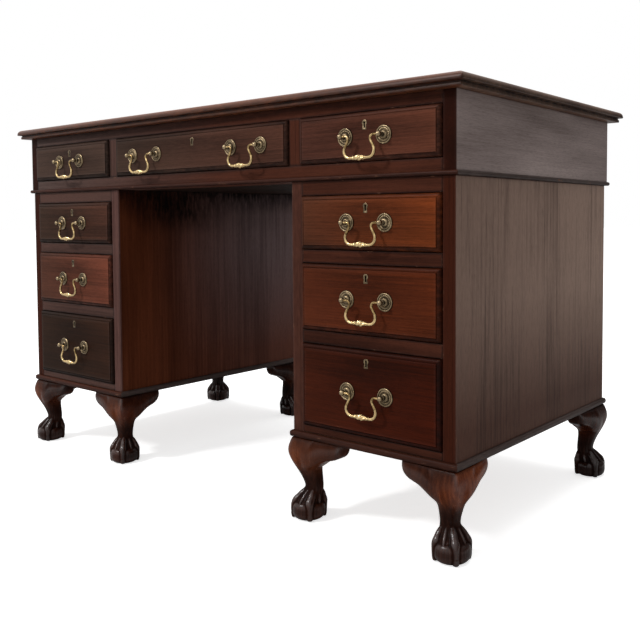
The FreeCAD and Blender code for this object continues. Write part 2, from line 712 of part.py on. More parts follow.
def keyhole_prism(wall, length):
    """A keyhole outline, a wall's thickness inside the escutcheon's edge, drawn out towards the back."""
    radius = cell("keyhole_head_radius") - wall
    foot = cell("keyhole_foot_width") / 2 - wall
    low = wall - cell("keyhole_height") / 2
    head = UP * (cell("keyhole_height") / 2 - cell("keyhole_head_radius"))
    corners = [Vector(-foot, 0, low), Vector(foot, 0, low)]
    sweep = 2 * QUARTER_TURN - 2 * NECK_ANGLE
    for step in range(HEAD_SIDES + 1):
        turn = FreeCAD.Rotation(FORWARD, NECK_ANGLE + sweep * step / HEAD_SIDES)
        corners.append(head + turn.multVec(RIGHT * radius))
    return flat(*corners).extrude(BACKWARD * length)


rosette = shaped("rosette_master", turned_rosette())
posts = {side: shaped(f"{side}_post_master", handle_post(float(sign))) for side, sign in SIDES}
bail = shaped("bail_master", swan_neck_bail())
whole_front = cell("front_thickness") + cell("lip_radius") + cell("field_step")
key_way = keyhole_prism(cell("escutcheon_wall"), whole_front)
escutcheon_block = keyhole_prism(0, cell("escutcheon_depth"))
escutcheon = shaped("escutcheon_master", escutcheon_block.cut(key_way))
keyhole = shaped("keyhole_cutter", escutcheon_block.fuse(key_way))
doc.recompute()


# The rounded lip of a drawer front in two flats, and the field inside it: how far each starts in from
# the edge and out from the carcase, its rise, and its lean in degrees.
LIP_ROWS = (
    ("lower_lip", ORIGIN, ORIGIN, "lip_radius * half_turn_share", EIGHTH_TURN / 2),
    ("upper_lip", "lip_radius * (1 - half_turn_share)", "lip_radius * half_turn_share",
     "lip_radius * (1 - half_turn_share)", QUARTER_TURN - EIGHTH_TURN / 2),
    ("field", "lip_width", "lip_radius", "field_step", 0),
)


def drawer(name, opening, height, centre_x, front, z, handles):
    """A drawer in its opening: moulded front, four-board box, handle and lock fittings, loose bails."""
    face = f"({front} - {FACE_PROUD})"
    front_back = f"({front} + front_thickness)"
    width = f"({opening} - 2 * drawer_gap)"
    tall = f"({height} - 2 * drawer_gap)"
    middle_z = f"({z} + {height} / 2)"
    bottom = f"({z} + running_clearance)"
    panel_z = f"({bottom} + drawer_bottom_rise)"
    inner = f"({width} - 2 * drawer_side_thickness)"
    side_height = f"({height} - drawer_top_play)"
    end_y = f"({front} + {DRAWER_DEPTH})"
    groove = "(drawer_bottom_thickness + drawer_groove_clearance)"
    groove_z = f"({panel_z} - drawer_groove_clearance / 2)"
    key_z = f"({z} + {height} - keyhole_drop - keyhole_height / 2)"

    body = doc.addObject("PartDesign::Body", name + "_front_board")
    blank = rectangle(body, name + "_blank", "XZ_Plane", width, tall, "-front_thickness")
    pad(body, blank, "front_thickness")
    for title, inset, lift, rise, taper in LIP_ROWS:
        size = (f"{width} - 2 * {inset}", f"{tall} - 2 * {inset}")
        pad(body, rectangle(body, f"{name}_{title}", "XZ_Plane", *size, lift), rise, taper)
    seat(body, centre_x, front, middle_z)
    cutters = [plank(name + "_front_groove", f"{inner} + 2 * drawer_groove_depth",
                     "drawer_groove_depth + cut_overrun", groove,
                     centre_x, f"{front_back} - drawer_groove_depth", groove_z),
               copy_of(keyhole, name + "_keyhole", centre_x, face, key_z)]

    fittings = [copy_of(escutcheon, name + "_escutcheon", centre_x, face, key_z),
                plank(name + "_lock", "lock_width", "lock_thickness", "lock_height",
                      centre_x, front_back, f"{key_z} - lock_drop")]
    for title, offset in handles:
        middle_x = f"({centre_x} + {offset})"
        for side, sign in SIDES:
            post_x = f"{middle_x} + {sign} * handle_span / 2"
            label = f"{name}_{title}{side}"
            fittings += [copy_of(rosette, label + "_rosette", post_x, face, middle_z),
                         copy_of(posts[side], label + "_post", post_x, face, middle_z)]
    node(name + "_front", cut(name + "_front_cut", body, *cutters))

    sides = []
    for side, sign in SIDES:
        side_x = f"{centre_x} + {sign} * ({width} / 2 - drawer_side_thickness / 2)"
        side_board = plank(f"{name}_{side}_blank", "drawer_side_thickness", f"{end_y} - {front_back}",
                           side_height, side_x, front_back, bottom)
        slot_x = f"{centre_x} + {sign} * ({inner} / 2 + drawer_groove_depth / 2)"
        slot = plank(f"{name}_{side}_groove", "drawer_groove_depth",
                     f"{end_y} - {front_back} + 2 * cut_overrun", groove,
                     slot_x, f"{front_back} - cut_overrun", groove_z)
        sides.append(cut(f"{name}_{side}_side", side_board, slot))
    panel = plank(name + "_bottom", f"{inner} + 2 * drawer_groove_depth - drawer_groove_clearance",
                  f"{end_y} - {front_back} + drawer_groove_depth - drawer_groove_clearance",
                  "drawer_bottom_thickness", centre_x,
                  f"{front_back} - drawer_groove_depth + drawer_groove_clearance", panel_z)
    back_z = f"({panel_z} + drawer_bottom_thickness)"
    back = plank(name + "_back", inner, "drawer_back_thickness", f"{bottom} + {side_height} - {back_z}",
                 centre_x, f"{end_y} - drawer_back_thickness", back_z)
    node(name + "_box", *sides, panel, back)
    node(name + "_fittings", *fittings)
    for title, offset in handles:
        node(f"{name}_{title}bail", copy_of(bail, f"{name}_{title}bail_rod", f"{centre_x} + {offset}",
                                            f"{face} - post_reach", middle_z))


ONE_HANDLE = (("", ORIGIN),)
TWO_HANDLES = tuple((side + "_", f"{sign} * centre_handle_spread / 2") for side, sign in SIDES)
drawer("frieze_centre_drawer", CENTRE_OPENING, "frieze_drawer_height", ORIGIN, FRIEZE_FRONT, FRIEZE_OPENING,
       TWO_HANDLES)
for side, sign in SIDES:
    drawer(f"frieze_{side}_drawer", "frieze_side_drawer_width", "frieze_drawer_height",
           f"{sign} * {FRIEZE_SIDE_CENTRE}", FRIEZE_FRONT, FRIEZE_OPENING, ONE_HANDLE)
    for title, height, level in (("upper", "upper_drawer_height", UPPER_OPENING),
                                 ("middle", "middle_drawer_height", MIDDLE_OPENING),
                                 ("lower", "lower_drawer_height", LOWER_OPENING)):
        drawer(f"{side}_{title}_drawer", PEDESTAL_OPENING, height, f"{sign} * {PEDESTAL_CENTRE}",
               PEDESTAL_FRONT, level, ONE_HANDLE)

doc.recompute()
for item in doc.Objects:
    if "Invalid" in item.State or "Error" in item.State:
        raise RuntimeError(f"{item.Label} did not build: {item.State}")
os.makedirs("parts", exist_ok=True)
for whole in nodes:
    if not whole.Shape.isValid() or not whole.Shape.Solids:
        raise RuntimeError(f"{whole.Label} is not a sound solid")
    whole.Shape.exportStep(f"parts/{whole.Label}.step")
print(len(nodes), "nodes")
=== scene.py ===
import bmesh
import bpy
import numpy as np
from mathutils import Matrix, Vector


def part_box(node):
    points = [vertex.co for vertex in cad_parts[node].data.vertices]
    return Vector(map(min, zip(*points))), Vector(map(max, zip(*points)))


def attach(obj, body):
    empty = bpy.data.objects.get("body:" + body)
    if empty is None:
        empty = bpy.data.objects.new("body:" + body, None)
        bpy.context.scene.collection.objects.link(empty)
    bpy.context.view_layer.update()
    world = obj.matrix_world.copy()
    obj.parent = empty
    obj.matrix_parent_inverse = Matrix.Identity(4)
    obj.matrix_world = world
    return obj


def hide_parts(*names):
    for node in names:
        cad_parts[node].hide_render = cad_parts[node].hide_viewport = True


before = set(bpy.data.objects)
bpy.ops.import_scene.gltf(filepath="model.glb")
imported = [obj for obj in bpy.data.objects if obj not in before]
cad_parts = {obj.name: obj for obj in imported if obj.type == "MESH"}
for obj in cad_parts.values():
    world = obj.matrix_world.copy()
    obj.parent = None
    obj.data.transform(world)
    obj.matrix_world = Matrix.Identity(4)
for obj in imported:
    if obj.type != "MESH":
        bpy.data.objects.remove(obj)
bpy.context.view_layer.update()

# Pedestal carcases: two upright cabinets of solid mahogany boards, glued and tenoned together.
# The outer sides are painted a grey brown, a painted sheen of reflected light that is weaker towards the
# floor, while the kneehole sides are red in front, with a painted grey sheen further back and painted shadow
# under the frieze.
# Rails run flush between the sides, and every arris is softened by years of dusting.
MM = 0.001
TINY = 1e-6
CARCASE = "carcase"
# How far apart the figures of two boards lie in the same timber: along, across and through it
FIGURE_STEP = np.array([1.73, 0.311, 0.197])


def rise(values, start, span, least=0.0):
    """The least up to the start, then evenly up to one over the span. A span below nothing falls instead."""
    return np.clip((values - start) / span, least, 1)


def compass(angle):
    """The point of a unit circle at each angle."""
    return np.stack([np.cos(angle), np.sin(angle)], axis=-1)


def patch(points, grain, wear=0.0, grime_and_shade=0.0, painted_light_and_rub=0.0, ring=True, loop=False):
    """A grid of points with quads between neighbouring rows and columns. Columns close into a ring and
    rows into a loop where asked. The grain is the points' own coordinates in the order along, across and
    through the timber, moved by the board's number, so that no two boards share a figure. From nothing to
    one, wear says how rubbed each point is, grime and shade how far wax, patina and painted shade darken it,
    and painted light and rub how far painted light, and on a knee a rubbed patch, turn it to a second tone."""
    rows, columns = points.shape[:2]
    number = np.arange(rows * columns).reshape(rows, columns)
    if ring:
        number = np.concatenate([number, number[:, :1]], axis=1)
    if loop:
        number = np.concatenate([number, number[:1]], axis=0)
    quads = np.stack([number[:-1, :-1], number[:-1, 1:], number[1:, 1:], number[1:, :-1]], axis=-1)
    order, board = grain
    figure = points[..., list(order)] + board * FIGURE_STEP
    made = {"place": points.reshape(-1, 3), "quads": quads.reshape(-1, 4), "grain": figure.reshape(-1, 3)}
    for label, values in (("wear", wear), ("grime_and_shade", grime_and_shade), ("painted_light_and_rub", painted_light_and_rub)):
        made[label] = np.broadcast_to(values, (rows, columns)).reshape(-1)
    return made


def joined(patches):
    """Points and quads of several patches laid end to end, in the order that a new mesh takes them."""
    first = np.cumsum([0] + [len(part["place"]) for part in patches])
    places = np.concatenate([part["place"] for part in patches])
    quads = np.concatenate([part["quads"] + start for part, start in zip(patches, first)])
    return places.tolist(), [], quads.tolist()


def weld(mesh):
    """Joins the points that lie together and turns the faces outwards."""
    shape = bmesh.new()
    shape.from_mesh(mesh)
    bmesh.ops.remove_doubles(shape, verts=shape.verts, dist=TINY)
    bmesh.ops.recalc_face_normals(shape, faces=shape.faces)
    shape.to_mesh(mesh)
    shape.free()


def placed(name, data):
    """A new object in the scene that holds this mesh, lamp or camera."""
    made = bpy.data.objects.new(name, data)
    bpy.context.scene.collection.objects.link(made)
    return made


def piece(name, patches, finish, body, slot, *nodes, crisp=35):
    """One mesh from several patches, with seams and poles welded, and with edges that bend by more than the
    crisp angle in degrees kept sharp."""
    mesh = bpy.data.meshes.new(name)
    mesh.from_pydata(*joined(patches))
    for label in ("wear", "grime_and_shade", "painted_light_and_rub"):
        values = np.concatenate([part[label] for part in patches])
        mesh.attributes.new(label, "FLOAT", "POINT").data.foreach_set("value", values)
    figure = np.concatenate([part["grain"] for part in patches])
    mesh.attributes.new("grain", "FLOAT_VECTOR", "POINT").data.foreach_set("vector", figure.reshape(-1))
    weld(mesh)
    mesh.polygons.foreach_set("use_smooth", np.ones(len(mesh.polygons), dtype=bool))
    mesh.set_sharp_from_angle(angle=np.radians(crisp))
    made = placed(name, mesh)
    mesh.materials.append(finish)
    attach(made, body)
    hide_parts(*nodes)


ARC_STEPS = 3
MARGIN = 5 * MM
# The most that margins take up of a ring's side and of a small board
MARGIN_OF_SIDE, MARGIN_OF_BOARD = 0.8, 0.3
BOARD_ROWS = 8
# Heights between which a side's painted sheen grows more and more, and the share of it below them
SHADED_BELOW, SHEENED_ABOVE, DIMMEST = 0.16, 0.42, 0.22


def ring(half, radius, inset, margin=MARGIN):
    """A rectangle with round corners: each corner's centre plus a radius swept through a quarter turn, and
    one more point a margin away on either side. A deeper inset shrinks the radius, then the sides."""
    quarter = np.repeat(np.arange(4) * 90.0, ARC_STEPS + 3)
    sweep = np.tile(np.concatenate([[0], np.linspace(0, 90, ARC_STEPS + 1), [90]]), 4)
    signs = np.sign(compass(np.radians(quarter + 45)))
    slip = np.tile(np.concatenate([[1.0], np.zeros(ARC_STEPS + 1), [-1.0]]), 4)
    step = np.abs(slip)[:, None] * compass(np.radians(quarter + np.where(slip > 0, -90, 180)))
    centre = signs * np.maximum(np.asarray(half) - max(radius, inset), 0)
    bow = max(radius - inset, 0) * compass(np.radians(quarter + sweep))
    return centre + bow + step * np.minimum(margin, MARGIN_OF_SIDE * np.abs(centre))


def upright(rings, height):
    """Flat rings, each lifted to its own height."""
    return np.concatenate([rings, np.broadcast_to(height[:, None, None], rings.shape[:2] + (1,))], axis=-1)


def arris_columns():
    """One on the corners of a split ring, nothing on the points beside and between them."""
    return np.tile(np.concatenate([[0.0], np.ones(ARC_STEPS + 1), np.zeros(1 + BOARD_ROWS)]), 4)


def split_sides(grid):
    """The same rings with more points on their straight sides, spaced evenly from corner to corner."""
    corners = grid.reshape(len(grid), 4, ARC_STEPS + 3, 3)
    start, end = corners[:, :, -1:], np.roll(corners, -1, axis=1)[:, :, :1]
    share = np.linspace(0, 1, BOARD_ROWS + 2)[1:-1, None]
    return np.concatenate([corners, start + (end - start) * share], axis=2).reshape(len(grid), -1, 3)


def eased_board(low, high, ease, board, along=None, painted_light=(0, 0, 0), grime_and_shade=0.0, run=None):
    """A board with softened arrises: a round-cornered ring carried along its longest side, or the axis given,
    drawn in at both ends along a quarter circle and closed to a point in the middle of each end. Grime lies
    along its arrises, and the face that looks in the direction given for painted light takes a painted
    sheen, less towards the floor."""
    low, high = np.array(low, float), np.array(high, float)
    size = high - low
    length = int(np.argmax(size)) if run is None else run
    first, second = (length + 1) % 3, (length + 2) % 3
    half = size[[first, second]] / 2
    reach = size[length] / 2
    turn = np.linspace(0, np.pi / 2, ARC_STEPS + 1)
    margin = min(MARGIN, MARGIN_OF_BOARD * min(reach, *half))
    inset = np.concatenate([[ease + margin], ease * (1 - np.sin(turn)), [0]])
    level = np.concatenate([[reach], reach - ease * (1 - np.cos(turn)), [reach - ease - margin]])
    end = upright(np.stack([ring(half, ease, step, margin) for step in inset]), level)
    pole = np.zeros((1,) + end.shape[1:])
    pole[..., 2] = reach
    near = np.concatenate([pole, end])
    between = np.repeat(near[-1:], BOARD_ROWS, axis=0)
    between[..., 2] *= np.linspace(1, -1, BOARD_ROWS + 2)[1:-1, None]
    grid = split_sides(np.concatenate([near, between, near[::-1] * np.array([1, 1, -1])]))
    points = np.empty(grid.shape)
    points[..., [first, second, length]] = grid
    edge = np.concatenate([[0, 0], np.ones(ARC_STEPS + 1), [0]])
    end_rows = np.concatenate([edge, np.zeros(BOARD_ROWS), edge[::-1]])[:, None]
    body_rows = np.pad(np.ones(BOARD_ROWS + 2), ARC_STEPS + 3)[:, None]
    wear = np.maximum(end_rows, body_rows * arris_columns())
    grain_axis = length if along is None else along
    order = (grain_axis, (grain_axis + 1) % 3, (grain_axis + 2) % 3)
    short_of_face = np.abs(painted_light) @ size / 2 - points @ np.array(painted_light)
    height = points[..., 2] + (low + high)[2] / 2
    sheen_by_height = rise(height, SHADED_BELOW, SHEENED_ABOVE - SHADED_BELOW, DIMMEST)
    painted_light_and_rub = np.clip(1 - short_of_face / ease, 0, 1) * np.any(painted_light) * sheen_by_height
    return patch(points + (low + high) / 2, (order, board), wear, wear * grime_and_shade, painted_light_and_rub)


def wire(tree, kind, settings=None, **inputs):
    """One shader node. Settings are its own options; an input takes a value, or another node's output."""
    made = tree.nodes.new(kind)
    for option, value in (settings or {}).items():
        setattr(made, option, value)
    for label, value in inputs.items():
        socket = made.inputs[int(label[1:]) if label[1:].isdigit() else label.replace("_", " ")]
        if isinstance(value, bpy.types.NodeSocket):
            tree.links.new(value, socket)
        else:
            socket.default_value = value
    return next(iter(made.outputs), None)


def new_finish(name):
    """A new material and its empty node tree."""
    material = bpy.data.materials.new(name)
    material.use_nodes = True
    material.node_tree.nodes.clear()
    return material, material.node_tree


def maths(tree, kind, first, second):
    """Two numbers worked together in the way its name says."""
    return wire(tree, "ShaderNodeMath", {"operation": kind}, _0=first, _1=second)


def plus(tree, first, second):
    """One number added to another."""
    return maths(tree, "ADD", first, second)


def times(tree, first, second):
    """One number multiplied by another."""
    return maths(tree, "MULTIPLY", first, second)


def measure(tree, kind, **vectors):
    """One number worked out from vectors, such as a length or a dot product."""
    wire(tree, "ShaderNodeVectorMath", {"operation": kind}, **vectors)
    return tree.nodes[-1].outputs["Value"]


def ramp(tree, factor, *stops):
    """A run of colours or greys, each at its own place between nothing and one."""
    made = tree.nodes.new("ShaderNodeValToRGB")
    band = made.color_ramp
    while len(band.elements) < len(stops):
        band.elements.new(1.0)
    for element, (place, colour) in zip(band.elements, stops):
        element.position = place
        element.color = (*colour, 1) if isinstance(colour, tuple) else (colour, colour, colour, 1)
    tree.links.new(factor, made.inputs[0])
    return made.outputs[0]


def streaks(tree, where, stretch, detail, rough=0.55):
    """Noise drawn out along the grain: its coordinates are multiplied by three unequal numbers per metre."""
    place = wire(tree, "ShaderNodeVectorMath", {"operation": "MULTIPLY"}, _0=where, _1=stretch)
    return wire(tree, "ShaderNodeTexNoise", Vector=place, Scale=1.0, Detail=detail, Roughness=rough)


def blend(tree, kind, amount, under, over):
    """Two colours put together in the way its name says, by an amount between nothing and one."""
    wire(tree, "ShaderNodeMix", {"data_type": "RGBA", "blend_type": kind}, _0=amount, _6=under, _7=over)
    return tree.nodes[-1].outputs[2]


def srgb(red, green, blue):
    """A colour as seen on a screen, turned into the light it stands for."""
    seen = np.array([red, green, blue]) / 255
    light = np.where(seen < 0.04045, seen / 12.92, ((seen + 0.055) / 1.055) ** 2.4)
    return tuple(float(value) for value in light)


def shades(*tones):
    """A run of screen colours from dark to pale, each turned into light."""
    return [srgb(*tone) for tone in tones]


def mark(tree, label, output="Fac"):
    """What a mesh says about itself at each point, under this label."""
    made = tree.nodes.new("ShaderNodeAttribute")
    made.attribute_name = label
    return made.outputs[output]


def surface(tree, colour, rough, height, bump, **more):
    """A principled surface over a bump of this strength and depth in metres, which follows a height."""
    normal = wire(tree, "ShaderNodeBump", Strength=bump[0], Distance=bump[1], Height=height)
    shell = wire(tree, "ShaderNodeBsdfPrincipled", Base_Color=colour, Roughness=rough, Normal=normal, **more)
    wire(tree, "ShaderNodeOutputMaterial", Surface=shell)


def timber(name, tones, worn, light_and_rub_tones=None, roughness=0.42, figure=0.5, gloss=0.02, polish=0.04):
    """A polished open-grained wood: broad shifts of tone, ribbon figure and fine streaks along the grain add
    up to one run of three colours, or to a second run for painted light, a painted sheen or a lighter end,
    and on the legs also for a rubbed patch. Pores are short dark dashes, worn arrises shine and show pale
    chips, and dark wax and painted shade lie where the grime and shade attribute says."""
    material, tree = new_finish(name)
    where = mark(tree, "grain", "Vector")
    broad = streaks(tree, where, (1.6, 9, 9), 2.0)
    ribbon = streaks(tree, where, (3.5, 240, 144), 4.0)
    fine = streaks(tree, where, (16, 900, 900), 3.0, 0.65)
    pores = streaks(tree, where, (70, 2400, 2400), 1.0)
    tone = plus(tree, times(tree, broad, 0.75 - figure * 0.5), times(tree, ribbon, figure))
    tone = plus(tree, tone, times(tree, fine, 0.25))
    colour = ramp(tree, tone, *zip((0.34, 0.52, 0.70), tones))
    if light_and_rub_tones:
        painted_light = ramp(tree, tone, *zip((0.38, 0.52, 0.66), light_and_rub_tones))
        colour = blend(tree, "MIX", mark(tree, "painted_light_and_rub"), colour, painted_light)
    dash = ramp(tree, pores, (0.36, 0.45), (0.46, 1.0))
    colour = blend(tree, "MULTIPLY", 0.55, colour, dash)
    mottled = streaks(tree, where, (45, 160, 160), 2.0)
    wax_and_shade = times(tree, mark(tree, "grime_and_shade"), ramp(tree, mottled, (0.3, 0.55), (0.6, 1.0)))
    colour = blend(tree, "MIX", wax_and_shade, colour, (*srgb(14, 8, 7), 1))
    scuffs = streaks(tree, where, (38, 130, 130), 4.0, 0.7)
    chips = ramp(tree, scuffs, (0.62, 0.0), (0.72, 1.0))
    crown = mark(tree, "wear")
    rubbed = times(tree, maths(tree, "POWER", crown, 2.0), chips)
    colour = blend(tree, "MIX", rubbed, colour, (*worn, 1))
    shine = plus(tree, times(tree, ribbon, 0.22), roughness - 0.11)
    shine = plus(tree, shine, times(tree, rubbed, 0.2))
    relief = plus(tree, times(tree, pores, 0.6), times(tree, ribbon, 0.5))
    glint = plus(tree, times(tree, crown, polish), gloss)
    surface(tree, colour, shine, relief, (0.12, 0.0006), Specular_IOR_Level=glint)
    return material


SIDE_THICKNESS = 25 * MM
# Lower and upper edges of the four rails, in millimetres from the floor
PEDESTAL_RAILS = ((167, 181), (333, 357), (479, 503), (600, 626))
# Radius of the softened arrises on sides, on backs and thin boards, and on rails
SIDE_EASE, BACK_EASE, RAIL_EASE = 1.2 * MM, 0.8 * MM, 0.6 * MM
RAIL_GRIME = 0.7
# Shares of the depth that count as a side's front and back edge
FRONT_EDGE, BACK_EDGE = 0.003, 0.995
# Share of the painted sheen that a side keeps at its front, growing to the full at its back, and the painted
# sheen on its back edge
FRONT_SHEEN, BACK_EDGE_SHEEN = 0.62, 0.8
# Shares of the depth and height over which the kneehole's sheen grows, and the least of it near the floor
SHEEN_DEPTHS, SHEEN_HEIGHTS, LEAST_SHEEN = (0.2, 0.7), (0.1, 0.65), 0.15
# Lower edge of the frieze's shade in the kneehole from front to back, and how softly it starts
SHADE_DEPTHS, SHADE_HEIGHTS, SHADE_SPAN = (0, 0.15, 0.3, 0.5, 1), (0.90, 0.77, 0.75, 0.84, 0.88), 0.12
# Painted sheen and darkening on the kneehole side's front edge, and painted sheen on the rails, on the left
# and right pedestals
KNEEHOLE_EDGES = ((0.4, 0.2), (0.15, 0.5))
RAIL_SHEENS = (0.4, 0.0)
WORN_WOOD = srgb(112, 78, 60)
STILE_REDS = shades((24, 9, 5), (40, 16, 9), (60, 27, 16))
# Greys of the painted sheen on the outer sides and backs
SIDE_GREYS = shades((79, 62, 53), (120, 100, 90), (150, 127, 114))
side_mahogany = timber("side_mahogany", STILE_REDS, WORN_WOOD, SIDE_GREYS, figure=0.62, roughness=0.45)
KNEEHOLE_REDS = shades((49, 23, 13), (72, 34, 18), (94, 48, 28))
# Greys of the painted sheen towards the back of the kneehole sides
KNEEHOLE_GREYS = shades((74, 59, 58), (99, 81, 80), (120, 100, 99))
kneehole_mahogany = timber("kneehole_mahogany", KNEEHOLE_REDS, WORN_WOOD, KNEEHOLE_GREYS, figure=0.4,
                           roughness=0.45)
CASE_REDS = shades((34, 16, 11), (54, 28, 20), (78, 42, 30))
# Greys of the painted sheen on the rails, the front frame's left end, and the mouldings' ends and back
CASE_GREYS = shades((54, 43, 40), (74, 61, 57), (92, 79, 75))
frame_mahogany = timber("frame_mahogany", CASE_REDS, WORN_WOOD, CASE_GREYS, figure=0.4)

for number, name in enumerate(("left_pedestal", "right_pedestal")):
    low, high = np.array(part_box(name + "_sides"))
    for hand, title in enumerate(("left", "right")):
        near = low[0] if hand == 0 else high[0] - SIDE_THICKNESS
        panel = eased_board((near, low[1], low[2]), (near + SIDE_THICKNESS, high[1], high[2]), SIDE_EASE,
                            board=3 + number * 4 + hand, along=2, painted_light=(2 * hand - 1, 0, 0), run=2)
        depth = np.interp(panel["place"][:, 1], (low[1], high[1]), (0, 1))
        height = np.interp(panel["place"][:, 2], (low[2], high[2]), (0, 1))
        if hand == number:
            finish = side_mahogany
            # The outer side's grey is painted sheen: part of it at the front, all of it further back, and a
            # fixed share on the back edge
            painted_light = panel["painted_light_and_rub"] * (FRONT_SHEEN + (1 - FRONT_SHEEN) * depth)
            panel["painted_light_and_rub"] = np.where(depth > BACK_EDGE, BACK_EDGE_SHEEN, painted_light)
        else:
            finish = kneehole_mahogany
            # Further back the kneehole side takes a painted grey sheen, and under the frieze a painted
            # shadow; its front edge gets its own painted sheen and darkening
            sheen = np.interp(height, SHEEN_HEIGHTS, (LEAST_SHEEN, 1))
            sheen = sheen * np.interp(depth, SHEEN_DEPTHS, (0, 1))
            shade = rise(height, np.interp(depth, SHADE_DEPTHS, SHADE_HEIGHTS), SHADE_SPAN)
            edge_sheen, edge_darkening = KNEEHOLE_EDGES[number]
            panel["painted_light_and_rub"] = np.where(depth < FRONT_EDGE, edge_sheen, sheen)
            panel["grime_and_shade"] = np.where(depth < FRONT_EDGE, edge_darkening, shade)
        piece(f"{name}_{title}_side", [panel], finish, CARCASE, "mahogany", name + "_sides")
    back = eased_board(*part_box(name + "_back"), BACK_EASE, board=21 + number, along=2, painted_light=(0, 1, 0))
    piece(name + "_back_panel", [back], side_mahogany, CARCASE, "mahogany", name + "_back")
    low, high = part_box(name + "_front_rails")
    rails = [eased_board((low[0], low[1], under * MM), (high[0], high[1], over * MM), RAIL_EASE,
                         board=31 + number * 5 + row, grime_and_shade=RAIL_GRIME)
             for row, (under, over) in enumerate(PEDESTAL_RAILS)]
    for rail in rails:
        # The rails take a painted grey sheen, on the left pedestal only
        rail["painted_light_and_rub"] = np.full(len(rail["place"]), RAIL_SHEENS[number])
    piece(name + "_rails", rails, frame_mahogany, CARCASE, "mahogany", name + "_front_rails")


# Inner boards and drawer runners: sawn pine, dry and unpolished, nailed and glued inside the carcases.
# They are seen only past an open drawer or from underneath.
def sawn_pine(name, turn, pale, dark):
    """Bare softwood: slow and quick noise drawn out along the boards add up to a run of two tones, and noise
    drawn out across them gives faint saw marks."""
    material, tree = new_finish(name)
    where = tree.nodes.new("ShaderNodeTexCoord").outputs["Object"]
    turned = wire(tree, "ShaderNodeMapping", Vector=where, Rotation=(0, 0, turn))
    bent = streaks(tree, turned, (1.2, 18, 18), 2.0)
    rings = streaks(tree, turned, (2.0, 140, 70), 3.0)
    saw = streaks(tree, turned, (420, 30, 30), 1.0)
    tone = plus(tree, times(tree, bent, 0.5), times(tree, rings, 0.5))
    rough = plus(tree, times(tree, rings, 0.15), 0.62)
    colour = ramp(tree, tone, (0.36, srgb(*dark)), (0.64, srgb(*pale)))
    surface(tree, colour, rough, saw, (0.25, 0.0005), Specular_IOR_Level=0.03)
    return material


def dress(node, finish):
    """Gives a CAD node's own material slots a better finish."""
    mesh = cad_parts[node].data
    mesh.materials.clear()
    mesh.materials.append(finish)


lengthwise_pine = sawn_pine("runner_pine", float(np.pi / 2), (150, 112, 74), (112, 78, 48))
crosswise_pine = sawn_pine("board_pine", 0, (128, 92, 62), (84, 56, 38))
# The frieze's bottom board is given near-black pine: painted shade for the dark underside of the frieze
shade_dark_pine = sawn_pine("shade_dark_board", 0, (40, 26, 20), (20, 13, 11))
for side in ("left", "right"):
    dress(side + "_pedestal_runners", lengthwise_pine)
    dress(side + "_pedestal_boards", crosswise_pine)
dress("frieze_runners", lengthwise_pine)
dress("frieze_partitions", lengthwise_pine)
dress("frieze_bottom_board", shade_dark_pine)

# Base mouldings: a mahogany bullnose round the foot of each pedestal, mitred at the corners and glued on.
# Its outermost curve is rubbed pale by shoes and brooms, wax lies along its upper edge, painted shade darkens
# it towards the underside, and its ends and back take a painted sheen.
BULLNOSE_STEPS = 12
BULLNOSE_CORNER = 1.5 * MM
# Power that fills out the half ellipse, and power that keeps the rubbing to its crown
BULLNOSE_FULLNESS, CROWN_POWER = 0.8, 3
# Share of the way from the middle to the lower or upper edge, and the darkening there: painted shade towards
# the lower edge, wax at the upper edge
WAX_AND_SHADE_LEVELS, WAX_AND_SHADE_AMOUNTS = (-1, -0.4, 0.5, 0.96, 1), (0.9, 0.55, 0.3, 0.1, 0.8)
BASE_PROJECTION = 6 * MM


def nearer_end(place, half):
    """Which points lie nearer to the left or right side of a rectangle than to its front or back."""
    return half[0] - np.abs(place[:, 0]) < half[1] - np.abs(place[:, 1])


def bullnose(node, projection, board, finish):
    """Half an ellipse, filled out by a power, from the moulding's lower edge to its upper one, carried round
    the carcase, and closed by the flat that is glued to it."""
    low, high = np.array(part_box(node))
    half, middle = (high - low)[:2] / 2, (low + high)[:2] / 2
    turn = np.linspace(-np.pi / 2, np.pi / 2, BULLNOSE_STEPS + 1)
    swell = np.sign(np.cos(turn)) * np.abs(np.cos(turn)) ** BULLNOSE_FULLNESS
    rings = np.stack([ring(half, BULLNOSE_CORNER, projection * (1 - out)) for out in swell])
    points = upright(rings + middle, low[2] + (high[2] - low[2]) * (np.sin(turn) + 1) / 2)
    # Painted shade that grows towards the underside, and wax along the upper edge
    grime_and_shade = np.interp(np.sin(turn), WAX_AND_SHADE_LEVELS, WAX_AND_SHADE_AMOUNTS)
    fore = patch(points, ((0, 2, 1), board), swell[:, None] ** CROWN_POWER, grime_and_shade[:, None], loop=True)
    place = fore["place"][:, :2] - middle
    aside = nearer_end(place, half)
    fore["grain"][aside] = fore["grain"][aside][:, [2, 1, 0]]
    # The ends and back take the full painted sheen
    fore["painted_light_and_rub"] = np.where(aside | (place[:, 1] > 0), 1.0, 0.0)
    piece(node + "_run", [fore], finish, CARCASE, "mahogany", node)


for number, side in enumerate(("left", "right")):
    bullnose(side + "_pedestal_base_moulding", BASE_PROJECTION, 41 + number, frame_mahogany)

# Cabriole legs: eight solid mahogany legs, bandsawn from square stock and carved by hand, with a bracket
# glued to each side of the knee. The foot is a ball held by four talons.
LEG_HEIGHT = 154 * MM
KNEE_WIDTH = 58 * MM
KNEE_PROJECTION = 13 * MM
BALL_RADIUS = 31.5 * MM
BALL_RISE = 17.5 * MM
BALL_HALF_HEIGHT = 19.5 * MM
BALL_FULLNESS = 3.0
FOOT_SETBACK = 27 * MM
